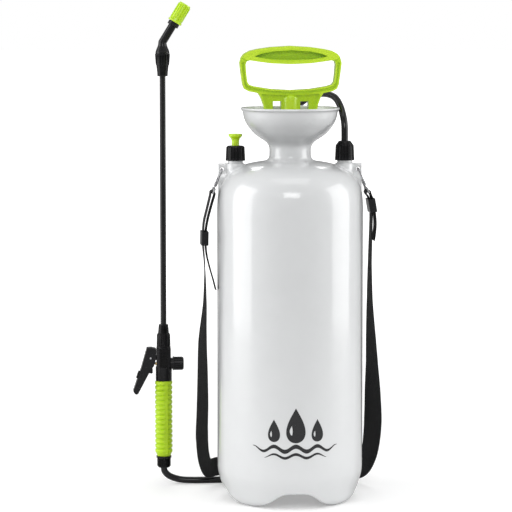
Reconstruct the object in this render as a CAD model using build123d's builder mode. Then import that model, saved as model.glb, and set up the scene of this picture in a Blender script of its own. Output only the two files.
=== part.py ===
from build123d import *
import math
import os

"""Pressure sprayer of about 8 litres: a white blow-moulded tank with its filling funnel in one
piece, a hand pump with a D-handle, a relief valve, a hose outlet, a shoulder strap and a spray
lance on a hose.

Millimetres, +Z up, floor at z = 0, front of the tank towards -Y, the two small spouts on a line
along X. The origin is the point where the tank's vertical axis meets the floor.
"""

os.makedirs("parts", exist_ok=True)

# ---------------------------------------------------------------- driving dimensions
TANK_R = 92.5                   # outside radius of the tank
WALL = 2.3                      # wall of the tank
CHANNEL_H = 20.0                # height of the hollow between two feet
SPOUT_X = 69.4                  # the two spouts on the shoulder, at -X and +X
SPOUT_R, SPOUT_BORE = 9.4, 6.5
BOSS_R, BOSS_TOP = 11.4, 428.7  # boss under each spout
SPOUT_TOP = 445.0
LUG_X, LUG_Z, LUG_HOLE = 86.6, 421.2, 2.6  # strap eye in the web outside each boss
RIM_Z = 499.0                   # funnel rim
NECK_R, NECK_BORE = 26.3, 23.8
LEDGE_Z = 456.0                 # seat of the pump's seal in the funnel
LANCE = (-156.0, 102.0)         # x, y of the lance's upright axis
LANCE_X, LANCE_Y = LANCE
STEM_Z = 160.0                  # valve stem height
WAND_R = 3.9
HOSE_R, HOSE_BORE = 4.3, 2.75
CLOSE_GAP = 0.03                # radial gap of a close fit
WAND_GAP = 0.05                 # radial gap round the wand where it slides in
ROD_GAP = 0.06                  # radial gap of the pump rod in the pump head
HOSE_GAP = 0.06                 # radial gap round the hose in a cap or nut
DOWN, INWARD = (0, -1), (-1, 0)  # end tangents of the tank's outlines


# ---------------------------------------------------------------- helpers
def flat_at(z=0.0, x=0.0, y=0.0):
    """Level plane at height z."""
    return Plane(origin=(x, y, z))


def front_at(x=0.0, y=0.0, z=0.0):
    """Upright plane facing the front: local x is +X, local y is height above z."""
    return Plane(origin=(x, y, z), x_dir=(1, 0, 0), z_dir=(0, -1, 0))


def side_at(x=0.0, y=0.0, z=0.0):
    """Upright plane facing +X: local x is +Y, local y is height above z."""
    return Plane(origin=(x, y, z), x_dir=(0, 1, 0), z_dir=(1, 0, 0))


def axis_at(x=0.0, y=0.0):
    """Upright axis through x, y."""
    return Axis((x, y, 0), (0, 0, 1))


def mirrored(points):
    """The points in reverse order on the other side of x = 0, without those on it."""
    return [(-x, z) for x, z in reversed(points) if abs(x) > 0.01]


def both_ways(points):
    """A half outline completed by its mirror image."""
    return points + mirrored(points)


def parallel(points, offset):
    """The open polyline moved sideways by offset, to the left of its direction."""
    moved = []
    last = len(points) - 1
    for i, (x, z) in enumerate(points):
        before, after = points[max(i - 1, 0)], points[min(i + 1, last)]
        dx, dz = after[0] - before[0], after[1] - before[1]
        length = math.hypot(dx, dz)
        moved.append((x - dz / length * offset, z + dx / length * offset))
    return moved


def turned_about(plane, axis, profile):
    """The closed profile, drawn in the plane, turned about the axis."""
    with BuildPart() as body:
        with BuildSketch(plane):
            with BuildLine():
                Polyline(*profile, close=True)
            make_face()
        revolve(axis=axis)
    return body.part


def turned(profile, x=0.0, y=0.0):
    """The profile of (radius, height) points turned about the upright axis at x, y."""
    return turned_about(front_at(x, y), axis_at(x, y), profile)


def tube(plane, outer, inner, length):
    """Plain tube or flat ring standing on the plane."""
    with BuildPart() as body:
        with BuildSketch(plane):
            Circle(outer)
            Circle(inner, mode=Mode.SUBTRACT)
        extrude(amount=length)
    return body.part


def o_ring(plane, axis, section_centre, section_radius):
    """Round-section ring about the axis."""
    with BuildPart() as body:
        with BuildSketch(plane):
            with Locations(section_centre):
                Circle(section_radius)
        revolve(axis=axis)
    return body.part


def spring(start, direction, pitch, height, radius, wire_radius):
    """Open coil from the centre of its first turn along the direction."""
    with BuildPart() as body:
        with BuildLine() as coil:
            Helix(pitch=pitch, height=height, radius=radius, center=start, direction=direction)
        with BuildSketch(Plane(origin=coil.line @ 0, z_dir=coil.line % 0)):
            Circle(wire_radius)
        sweep(path=coil.line, is_frenet=True)
    return body.part


def cross_pin(x, y, z, radius, half_length):
    """Pin lying along Y, centred on x, y, z."""
    with BuildPart() as body:
        with BuildSketch(front_at(x, y + half_length)):
            with Locations((0, z)):
                Circle(radius)
        extrude(amount=2 * half_length)
    return body.part


def flutes(x, y, foot, top, radius, depth, width, count, envelope):
    """Upright ribs round a cap, trimmed to a turned envelope so that they follow its shape."""
    with BuildPart() as ribs:
        with BuildSketch(flat_at(foot, x, y)):
            with PolarLocations(radius, count):
                Rectangle(2 * depth, width)
        extrude(amount=top - foot)
        with BuildSketch(front_at(x, y)):
            with BuildLine():
                Polyline(*envelope, close=True)
            make_face()
        revolve(axis=axis_at(x, y), mode=Mode.INTERSECT)
    return ribs.part


def round_bar(points, radius):
    """A round bar through the points, with a ball at every joint. Call it outside any builder."""
    rod = None
    for start, end in zip(points[:-1], points[1:]):
        direction = Vector(*end) - Vector(*start)
        with BuildPart() as piece:
            with BuildSketch(Plane(origin=start, z_dir=direction)):
                Circle(radius)
            extrude(amount=direction.length)
        rod = piece.part if rod is None else rod + piece.part
    for point in points:
        rod = rod + Pos(*point) * Sphere(radius)
    return rod


def save(name, part):
    part.label = name
    export_step(part, f"parts/{name}.step")


# ---------------------------------------------------------------- tank
INNER_R = TANK_R - WALL
WALL_TOP, WALL_FOOT = 372.0, 43.0  # ends of the straight side
CROWN, INNER_CROWN = 22.0, 24.5    # height of the raised middle of the floor, outside and inside
CHANNEL_REACH = 130                # the channels run right through the base
WEB_FOOT, WEB_EDGE = 388, 91.2     # thin web between boss and shoulder

# hollow between two feet, seen along it: across, height
CHANNEL = both_ways([
    (-47.5, -0.6), (-43, 0.9), (-37, 4.2), (-30, 9.6), (-23, 15.2), (-17, 18.6), (-11, 19.8),
    (0, CHANNEL_H)])
INNER_CHANNEL = parallel(CHANNEL, WALL)

# outlines of the inside, each curve running on downwards: radius, height
INNER_FUNNEL = [(58.0, 495.5), (57.0, 488.6), (53.8, 480.6), (48.2, 473.0), (42.6, 467.0),
                (37.4, 463.3), (32.6, 460.4)]
INNER_FLARE = [(NECK_BORE, 436.0), (24.6, 432.6), (27.6, 429.6), (33.0, 428.6)]
INNER_SHOULDER = [(33.0, 428.6), (45.6, 427.1), (56.6, 424.4), (65.0, 421.2), (73.0, 416.7),
                  (80.2, 410.0), (85.4, 401.6), (88.1, 394.0), (89.6, 384.7),
                  (INNER_R, WALL_TOP)]
INNER_FOOT = [(INNER_R, WALL_FOOT), (88.3, 31.0), (85.4, 21.9), (83.2, 14.6), (81.8, 9.6),
              (80.0, 5.4), (75.6, 2.6)]
INNER_FLOOR = [(71.4, 2.6), (65.4, 5.2), (57.4, 10.6), (40.0, 18.6), (0, INNER_CROWN)]

# the same for the outside
OUTER_FUNNEL = [(60.4, 495.0), (59.3, 488.0), (55.9, 479.6), (50.0, 471.2), (44.3, 465.2),
                (38.6, 461.0), (31.6, 456.4)]
FUNNEL_TO_NECK = [(31.6, 456.4), (28.0, 453.0), (NECK_R, 448.6)]
OUTER_FLARE = [(NECK_R, 439.0), (27.0, 435.4), (29.6, 432.6), (35.0, 431.1)]
OUTER_SHOULDER = [(35.0, 431.1), (46.0, 429.5), (57.4, 426.8), (66.0, 423.4), (74.5, 418.4),
                  (82.0, 411.5), (87.6, 402.4), (90.4, 394.4), (91.9, 384.6),
                  (TANK_R, WALL_TOP)]
OUTER_FOOT = [(TANK_R, WALL_FOOT), (90.5, 30.0), (87.6, 20.6), (85.5, 13.2), (84.2, 7.8),
              (82.0, 3.4), (76.6, 0)]
OUTER_FLOOR = [(70.4, 0), (64.2, 2.8), (56.0, 8.4), (39.0, 16.2), (0, CROWN)]


def tank_void():
    """The inside of the tank as a solid, open upwards through funnel and spouts."""
    with BuildPart() as void:
        with BuildSketch(front_at()):
            with BuildLine():
                Polyline(INNER_FLOOR[-1], (0, 520), (58.0, 520), INNER_FUNNEL[0])
                Spline(*INNER_FUNNEL, tangents=(DOWN, (-0.86, -0.5)))
                Polyline(INNER_FUNNEL[-1], (29.2, 458.4), (29.2, LEDGE_Z), (NECK_BORE, LEDGE_Z),
                         INNER_FLARE[0])
                Spline(*INNER_FLARE, tangents=(DOWN, (1, -0.1)))
                Spline(*INNER_SHOULDER, tangents=((1, -0.1), DOWN))
                Line(INNER_SHOULDER[-1], INNER_FOOT[0])
                Spline(*INNER_FOOT, tangents=(DOWN, INWARD))
                Line(INNER_FOOT[-1], INNER_FLOOR[0])
                Spline(*INNER_FLOOR, tangents=(INWARD, INWARD))
            make_face()
        revolve(axis=axis_at())
        with BuildSketch(flat_at(405)):
            with Locations((-SPOUT_X, 0), (SPOUT_X, 0)):
                Circle(SPOUT_BORE)
        extrude(amount=60)
        for plane in (front_at(), side_at()):
            with BuildSketch(plane):
                with BuildLine():
                    Spline(*INNER_CHANNEL)
                    Polyline(INNER_CHANNEL[-1], (60, -10), (-60, -10), INNER_CHANNEL[0])
                make_face()
            extrude(amount=CHANNEL_REACH, both=True, mode=Mode.SUBTRACT)
    return void.part


def is_channel_rim(edge):
    """Edges low on the outside of the base, where the channels break through."""
    centre = edge.center()
    return 4 < centre.Z < 30 and math.hypot(centre.X, centre.Y) > 60


def tank_shell():
    """Tank with funnel, spouts and strap eyes, standing on four feet on the diagonals."""
    with BuildPart() as tank:
        with BuildSketch(front_at()):
            with BuildLine():
                Polyline(OUTER_FLOOR[-1], (0, RIM_Z), (61.4, RIM_Z))
                ThreePointArc((61.4, RIM_Z), (62.45, 497.9), (61.6, 496.3))
                Line((61.6, 496.3), OUTER_FUNNEL[0])
                Spline(*OUTER_FUNNEL, tangents=(DOWN, (-0.82, -0.57)))
                Spline(*FUNNEL_TO_NECK, tangents=((-0.82, -0.57), DOWN))
                Polyline(FUNNEL_TO_NECK[-1], (NECK_R, 446.5), OUTER_FLARE[0])
                Spline(*OUTER_FLARE, tangents=(DOWN, (1, -0.1)))
                Spline(*OUTER_SHOULDER, tangents=((1, -0.1), DOWN))
                Line(OUTER_SHOULDER[-1], OUTER_FOOT[0])
                Spline(*OUTER_FOOT, tangents=(DOWN, INWARD))
                Line(OUTER_FOOT[-1], OUTER_FLOOR[0])
                Spline(*OUTER_FLOOR, tangents=(INWARD, INWARD))
            make_face()
        revolve(axis=axis_at())
        with BuildSketch(flat_at(396)):
            with Locations((-SPOUT_X, 0), (SPOUT_X, 0)):
                Circle(BOSS_R)
        extrude(amount=BOSS_TOP - 396)
        for side in (-1, 1):
            with BuildSketch(front_at()):
                with BuildLine():
                    Polyline((side * 72, BOSS_TOP), (side * (WEB_EDGE - 1.6), BOSS_TOP),
                             (side * WEB_EDGE, BOSS_TOP - 1.6), (side * WEB_EDGE, WEB_FOOT),
                             (side * 78, WEB_FOOT), (side * 72, 400), close=True)
                make_face()
            extrude(amount=1.75, both=True)
        with BuildSketch(flat_at(BOSS_TOP)):
            with Locations((-SPOUT_X, 0), (SPOUT_X, 0)):
                Circle(SPOUT_R)
        extrude(amount=SPOUT_TOP - BOSS_TOP)
        for plane in (front_at(), side_at()):
            with BuildSketch(plane):
                with BuildLine():
                    Spline(*CHANNEL)
                    Polyline(CHANNEL[-1], (60, -10), (-60, -10), CHANNEL[0])
                make_face()
            extrude(amount=CHANNEL_REACH, both=True, mode=Mode.SUBTRACT)
        rims = tank.edges().filter_by(is_channel_rim)
        # the kernel may refuse the larger radii on these edges: take the first that works
        for radius in (4.0, 2.5, 1.5):
            try:
                fillet(rims, radius=radius)
                break
            except Exception:
                continue
        with BuildSketch(front_at()):
            with Locations((-LUG_X, LUG_Z), (LUG_X, LUG_Z)):
                Circle(LUG_HOLE)
        extrude(amount=6, both=True, mode=Mode.SUBTRACT)
        add(tank_void(), mode=Mode.SUBTRACT)
    return tank.part


# ---------------------------------------------------------------- relief valve, left spout
RELIEF_X = -SPOUT_X
GASKET_R, GASKET_BORE = 9.2, 6.4
SPIGOT_R = 6.3                           # of the seat or spigot inside a spout
RELIEF_SEAT_Z = SPOUT_TOP + 1.0          # top of the gasket


def relief_gasket():
    return tube(flat_at(SPOUT_TOP, RELIEF_X), GASKET_R, GASKET_BORE, RELIEF_SEAT_Z - SPOUT_TOP)


def relief_seat():
    return turned([
        (2.4, 436), (SPIGOT_R, 436), (SPIGOT_R, RELIEF_SEAT_Z), (GASKET_R, RELIEF_SEAT_Z),
        (GASKET_R, 447.4), (4.3, 447.4), (4.3, 438.0), (2.4, 438.0)], RELIEF_X)


def relief_cap():
    foot, top = 432.3, 451.0
    envelope = [(9.6, foot), (12.4, foot), (11.6, 449.3), (10.2, 450.8), (9.6, 450.9)]
    with BuildPart() as cap:
        add(turned([
            (9.5, foot), (11.8, foot), (11.1, 449.0), (9.4, top), (2.08, top), (2.08, 448.6),
            (9.5, 448.6)], RELIEF_X))
        add(flutes(RELIEF_X, 0, foot, top, radius=11.4, depth=1.1, width=1.7, count=20,
                   envelope=envelope))
    return cap.part


def relief_knob():
    """Pull knob in one piece with its valve stem."""
    return turned([
        (0, 438.1), (2.2, 438.1), (2.2, 439.1), (3.7, 439.1), (3.7, 441.2), (2.0, 441.2),
        (2.0, 451.2), (4.75, 451.2), (4.75, 457.0), (5.3, 459.4), (7.0, 461.6), (8.3, 463.0),
        (8.8, 464.1), (8.8, 465.2), (8.3, 465.9), (0, 465.9)], RELIEF_X)


def relief_o_ring():
    return o_ring(front_at(RELIEF_X), axis_at(RELIEF_X), (2.74, 438.56), 0.5)


def relief_spring():
    return spring((RELIEF_X, 0, 441.7), (0, 0, 1), pitch=1.55, height=6.3, radius=3.2,
                  wire_radius=0.35)


# ---------------------------------------------------------------- hose outlet, right spout
OUTLET_SEAT_Z = SPOUT_TOP + 1.5          # top of the gasket
DIP_R, DIP_BORE = 4.0, 2.7
DIP_FOOT, DIP_TOP = 33.0, 440.8


def outlet_gasket():
    return tube(flat_at(SPOUT_TOP, SPOUT_X), GASKET_R, GASKET_BORE, OUTLET_SEAT_Z - SPOUT_TOP)


def outlet_spigot():
    socket = DIP_R + 0.08
    return turned([
        (socket, 428), (SPIGOT_R, 428), (SPIGOT_R, OUTLET_SEAT_Z), (GASKET_R, OUTLET_SEAT_Z),
        (GASKET_R, 448.2), (2.7, 448.2), (2.7, 462), (2.3, 463), (1.4, 463), (1.4, 441),
        (socket, 441)], SPOUT_X)


def outlet_cap():
    foot = 432.2
    bore = HOSE_R + HOSE_GAP
    envelope = [(9.6, foot), (12.35, foot), (11.5, 450.6), (9.9, 453.4), (9.6, 453.6)]
    with BuildPart() as cap:
        add(turned([
            (9.5, foot), (11.8, foot), (11.1, 450.6), (9.4, 453.8), (7.6, 456.2), (7.0, 456.6),
            (bore, 456.6), (bore, 448.4), (9.5, 448.4)], SPOUT_X))
        add(flutes(SPOUT_X, 0, foot, 453.6, radius=11.4, depth=1.1, width=1.7, count=20,
                   envelope=envelope))
    return cap.part


def dip_tube():
    return tube(flat_at(DIP_FOOT, SPOUT_X), DIP_R, DIP_BORE, DIP_TOP - DIP_FOOT)


def dip_filter():
    """Cup on the foot of the dip tube, with four narrow slots across it."""
    bore = DIP_R + 0.05
    slot_z, slot_pitch = 30.6, 0.9
    with BuildPart() as cup:
        add(turned([
            (0, 27), (4.6, 27), (5.6, 28), (5.6, 46), (5.0, 47), (bore, 47), (bore, 28.4),
            (0, 28.4)], SPOUT_X))
        with BuildSketch(front_at(SPOUT_X)):
            for i in range(4):
                with Locations((0, slot_z + slot_pitch * i)):
                    Rectangle(3.4, 0.5)
        extrude(amount=8, both=True, mode=Mode.SUBTRACT)
    return cup.part


# ---------------------------------------------------------------- hose
# centre line from the outlet, down behind the tank and up into the lance: x, y, z
HOSE_OVER = [
    (SPOUT_X, 0, 466), (69.2, 1.6, 478), (67.9, 7.1, 489), (65.6, 17.0, 500),
    (60.6, 29.9, 510.0), (52.6, 43.2, 514.0), (42.6, 57.0, 513.6), (30.6, 70.8, 508.2),
    (18.5, 82.0, 498.0), (8.6, 90.2, 482), (1.4, 95.9, 460), (-2.8, 99.1, 434),
    (-5.1, 100.9, 407), (-6, 101.5, 380)]
HOSE_DOWN = [(-6, 101.5, 60), (-7.6, 101.6, 38), (-14.5, 101.8, 18.5), (-28, 102, 7.4),
             (-46, 102, 4.35)]
HOSE_LIFT = [(-118, 102, 4.35), (-136, 102, 5.9), (-149.4, 102, 10.8), (-155.2, 102, 17.0),
             (LANCE_X, LANCE_Y, 22.2)]


def supply_hose():
    """Solid hose, bored only where it is pushed over the spigots at its ends."""
    with BuildPart() as hose:
        with BuildLine() as path:
            Line((SPOUT_X, 0, 449.0), HOSE_OVER[0])
            Spline(*HOSE_OVER, tangents=((0, 0, 1), (0, 0, -1)), tangent_scalars=(0.5, 0.5))
            Line(HOSE_OVER[-1], HOSE_DOWN[0])
            Spline(*HOSE_DOWN, tangents=((0, 0, -1), (-1, 0, 0)))
            Line(HOSE_DOWN[-1], HOSE_LIFT[0])
            Spline(*HOSE_LIFT, tangents=((-1, 0, 0), (0, 0, 1)))
            Line(HOSE_LIFT[-1], (LANCE_X, LANCE_Y, 29.3))
        with BuildSketch(Plane(origin=path.line @ 0, z_dir=path.line % 0)):
            Circle(HOSE_R)
        sweep(path=path.line)
        for plane, depth in ((flat_at(448.0, SPOUT_X), 17.0), (flat_at(24.3, *LANCE), 6.0)):
            with BuildSketch(plane):
                Circle(HOSE_BORE)
            extrude(amount=depth, mode=Mode.SUBTRACT)
    return hose.part


# ---------------------------------------------------------------- pump
BARREL_R, BARREL_BORE = 20.0, 18.0
BARREL_FOOT = 140.0
SEAL_H = 1.6                             # seal ring on the ledge
FLANGE_TOP = 461.0                       # barrel flange, clamped by the pump head
HEAD_R, HEAD_RIB_H = 25.0, 9.0
ROD_R, ROD_END_R = 6.0, 4.0              # rod, and its thin end through the piston
PISTON_BORE = ROD_END_R + CLOSE_GAP
PISTON_R, GROOVE_R = 16.6, 12.0          # piston and the groove for its cup
HANDLE_PIN_Z, HANDLE_PIN_R = 494.0, 1.5


def pump_seal_ring():
    return tube(flat_at(LEDGE_Z), 28.7, NECK_BORE + 0.1, SEAL_H)


def pump_barrel():
    collar, seat = 23.72, LEDGE_Z + SEAL_H
    return turned([
        (BARREL_BORE, BARREL_FOOT), (BARREL_R, BARREL_FOOT), (BARREL_R, 436), (22.4, 438),
        (collar, 440), (collar, seat), (28.5, seat), (28.5, FLANGE_TOP),
        (BARREL_BORE, FLANGE_TOP)])


def barrel_foot():
    """Disc in the barrel's foot: a stem hole in the middle and six round it."""
    with BuildPart() as foot:
        with BuildSketch(flat_at(BARREL_FOOT)):
            Circle(BARREL_BORE - CLOSE_GAP)
            Circle(2.05, mode=Mode.SUBTRACT)
            with PolarLocations(7.0, 6):
                Circle(1.6, mode=Mode.SUBTRACT)
        extrude(amount=6)
    return foot.part


def check_valve():
    return turned([
        (0, 137.6), (4, 137.6), (10.4, 138.9), (10.4, 139.8), (2.0, 139.8), (2.0, 146.2),
        (2.7, 146.4), (2.2, 148.4), (0, 148.4)])


def pump_head():
    """Ribbed cap that guides the rod."""
    rod_bore, plug, top = ROD_R + ROD_GAP, BARREL_BORE - CLOSE_GAP, 475.5
    with BuildPart() as head:
        add(turned([
            (rod_bore, 453), (plug, 453), (plug, FLANGE_TOP), (HEAD_R, FLANGE_TOP),
            (HEAD_R, FLANGE_TOP + HEAD_RIB_H), (23.8, 471.2), (13.0, 471.2), (13.0, top),
            (rod_bore, top)]))
        with BuildSketch(flat_at(FLANGE_TOP)):
            with PolarLocations(HEAD_R - 0.2, 24):
                Rectangle(2.0, 2.6)
        extrude(amount=HEAD_RIB_H)
    return head.part


def pump_rod():
    with BuildPart() as rod:
        add(turned([
            (0, 150.6), (3.6, 150.6), (ROD_END_R, 151.0), (ROD_END_R, 170.2), (ROD_R, 170.2),
            (ROD_R, 507), (5.4, 508), (0, 508)]))
        with BuildSketch(front_at()):
            with Locations((0, HANDLE_PIN_Z)):
                Circle(HANDLE_PIN_R + 0.04)
        extrude(amount=12, both=True, mode=Mode.SUBTRACT)
    return rod.part


def piston():
    foot, top = 156.0, 170.0
    return turned([
        (PISTON_BORE, foot), (PISTON_R, foot), (PISTON_R, 160.6), (GROOVE_R, 160.6),
        (GROOVE_R, 167.0), (PISTON_R, 167.0), (PISTON_R, top), (PISTON_BORE, top)])


def piston_nut():
    with BuildPart() as nut:
        with BuildSketch(flat_at(151.4)):
            RegularPolygon(7.0, 6)
            Circle(PISTON_BORE, mode=Mode.SUBTRACT)
        extrude(amount=4.4)
    return nut.part


def piston_cup():
    inner, outer = GROOVE_R + 0.06, BARREL_BORE - 0.06
    return turned([
        (inner, 162.6), (15.0, 162.6), (15.8, 160.8), (outer, 160.8), (outer, 166.4),
        (inner, 166.4)])


# ---------------------------------------------------------------- pump handle
HANDLE_TOP, HANDLE_FOOT = 576.5, 478.0
FRAME_HALF, GRIP_HALF = 8.4, 12.0        # half depths along Y of the frame and the grip

# outlines from the front: x, height
HANDLE_OUTER = both_ways([
    (0, HANDLE_TOP), (25, 575.0), (42, 572.6), (52, 570.2), (58.4, 566.8), (62.6, 561.6),
    (64.3, 555.0), (62.9, 543), (60.7, 528.0), (58.4, 522.6), (53, 519.6), (46.5, 518.4),
    (41.2, 517.2), (37.6, 511.4), (34.6, 503.0), (32.6, 492), (31.4, HANDLE_FOOT),
    (0, HANDLE_FOOT)])
HANDLE_OPENING = both_ways([
    (0, 553.7), (25, 554.8), (43, 557.2), (51.5, 558.5), (55.6, 557.2), (57.0, 553.4),
    (56.2, 542), (54.9, 531.5), (52.6, 528.0), (46, 525.8), (25, 522.4), (0, 521.0)])
GRIP_OUTLINE = both_ways([
    (0, HANDLE_TOP), (25, 575.0), (42, 572.6), (52, 570.2), (58.4, 566.8), (61.6, 563.0),
    (58.0, 559.6), (51.5, 558.4), (43, 557.1), (25, 554.7), (0, 553.6)])
GRIP_LENS = both_ways([
    (0, 571.2), (24, 569.6), (38, 566.8), (46, 563.6), (38, 561.6), (24, 559.6), (0, 558.8)])
GROOVE_INNER = [(59.1, 556.0), (58.3, 541.8), (56.9, 530.9), (54.1, 526.5), (46.4, 523.7),
                (25, 520.2), (0, 518.8)]
GROOVE_OUTER = [(0, 516.6), (25, 517.8), (45.6, 520.6), (52.2, 521.8), (56.7, 524.3),
                (58.6, 529.0), (60.7, 543.2), (62.0, 555.4)]
FRAME_GROOVE = both_ways(GROOVE_INNER) + mirrored(GROOVE_OUTER) + GROOVE_OUTER
SKIRT_RECESS = both_ways([
    (0, 514.0), (25, 515.2), (36.6, 516.0), (35.4, 511.6), (32.4, 503.0), (30.4, 491.8),
    (29.3, HANDLE_FOOT), (0, HANDLE_FOOT)])


def pump_handle():
    socket_r = 10.5
    with BuildPart() as handle:
        with BuildSketch(front_at()):
            with BuildLine():
                Polyline(*HANDLE_OUTER, close=True)
            make_face()
            with BuildLine():
                Polyline(*HANDLE_OPENING, close=True)
            make_face(mode=Mode.SUBTRACT)
        extrude(amount=FRAME_HALF, both=True)
        with BuildSketch(front_at()):
            with BuildLine():
                Polyline(*GRIP_OUTLINE, close=True)
            make_face()
        extrude(amount=GRIP_HALF, both=True)
        # recesses sunk into the front and back faces
        for side in (-1, 1):
            with BuildSketch(front_at(0, side * GRIP_HALF)):
                with BuildLine():
                    Polyline(*GRIP_LENS, close=True)
                make_face()
            extrude(amount=side * 9.6, mode=Mode.SUBTRACT)
            with BuildSketch(front_at(0, side * FRAME_HALF)):
                with BuildLine():
                    Polyline(*FRAME_GROOVE, close=True)
                make_face()
                with BuildLine():
                    Polyline(*SKIRT_RECESS, close=True)
                make_face()
            extrude(amount=side * 1.5, mode=Mode.SUBTRACT)
        # windows on both sides of the socket
        with BuildSketch(front_at()):
            with Locations((-17.3, HANDLE_PIN_Z), (17.3, HANDLE_PIN_Z)):
                Rectangle(10.4, 26.0)
        extrude(amount=14, both=True, mode=Mode.SUBTRACT)
        # domed socket for the rod
        with BuildSketch(front_at()):
            with BuildLine():
                Line((0, HANDLE_FOOT), (socket_r, HANDLE_FOOT))
                Line((socket_r, HANDLE_FOOT), (socket_r, 510.5))
                Spline((socket_r, 510.5), (9.4, 513.6), (6.2, 515.9), (0, 516.8),
                       tangents=((0, 1), (-1, 0)))
                Line((0, 516.8), (0, HANDLE_FOOT))
            make_face()
        revolve(axis=axis_at())
        with BuildSketch(flat_at(HANDLE_FOOT)):
            Circle(ROD_R + CLOSE_GAP)
        extrude(amount=30.2, mode=Mode.SUBTRACT)
        with BuildSketch(front_at()):
            with Locations((0, HANDLE_PIN_Z)):
                Circle(HANDLE_PIN_R + CLOSE_GAP)
        extrude(amount=14, both=True, mode=Mode.SUBTRACT)
    return handle.part


def handle_pin():
    return cross_pin(0, 0, HANDLE_PIN_Z, HANDLE_PIN_R, half_length=10.2)


# ---------------------------------------------------------------- lance: nut, grip and body
BODY_R = 7.4                             # tube of the body inside the grip
GRIP_BORE = BODY_R + 0.04
GRIP_FOOT, GRIP_TOP = 37.8, 137.5
GRIP_RINGS, FIRST_RING_Z = 15, GRIP_FOOT + 3.2
RING_PITCH = (GRIP_TOP - FIRST_RING_Z) / GRIP_RINGS
BLOCK_FOOT, BLOCK_TOP, BLOCK_W = 155.8, 179.9, 18.6  # square valve block
BODY_TOP = 203.0
WAND_FOOT, WAND_TOP = 184.2, 563.0
PIVOT_X, PIVOT_Z = -17.3, 167.9          # trigger pin, x from the lance axis
PIVOT_PIN_R = 1.24
STEM_R = 2.0
STEM_PLANE = front_at(LANCE_X, LANCE_Y, STEM_Z)
STEM_AXIS = Axis((LANCE_X, LANCE_Y, STEM_Z), (1, 0, 0))


def hose_nut():
    bore = HOSE_R + HOSE_GAP
    envelope = [(7.6, 23.0), (8.2, 23.6), (8.9, 24.8), (8.9, 35.4), (7.6, 35.4)]
    with BuildPart() as nut:
        add(turned([
            (bore, 22.5), (7.2, 22.5), (8.2, 24.0), (8.2, 34.6), (9.85, 35.2), (9.85, 37.6),
            (GRIP_BORE, 37.6), (GRIP_BORE, 29.6), (bore, 29.6)], *LANCE))
        add(flutes(*LANCE, 23.0, 35.4, radius=8.0, depth=0.95, width=1.3, count=22,
                   envelope=envelope))
    return nut.part


def lance_grip():
    """Ringed sleeve with a bar along its front and back."""
    root, crest = 10.0, 11.4
    profile = [(GRIP_BORE, GRIP_FOOT), (8.6, GRIP_FOOT), (root, FIRST_RING_Z)]
    for i in range(GRIP_RINGS):
        base = FIRST_RING_Z + i * RING_PITCH
        top = base + RING_PITCH
        profile += [(root, base + 0.9), (11.1, base + 1.7), (crest, base + 2.7),
                    (crest, top - 1.9), (11.1, top - 0.9), (root, top)]
    profile += [(GRIP_BORE, GRIP_TOP)]
    with BuildPart() as grip:
        add(turned(profile, *LANCE))
        with BuildSketch(flat_at(FIRST_RING_Z, *LANCE)):
            with Locations((2.6, -9.7), (2.6, 9.7)):
                Rectangle(4.4, 2.8)
        extrude(amount=GRIP_TOP - FIRST_RING_Z)
    return grip.part


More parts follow.
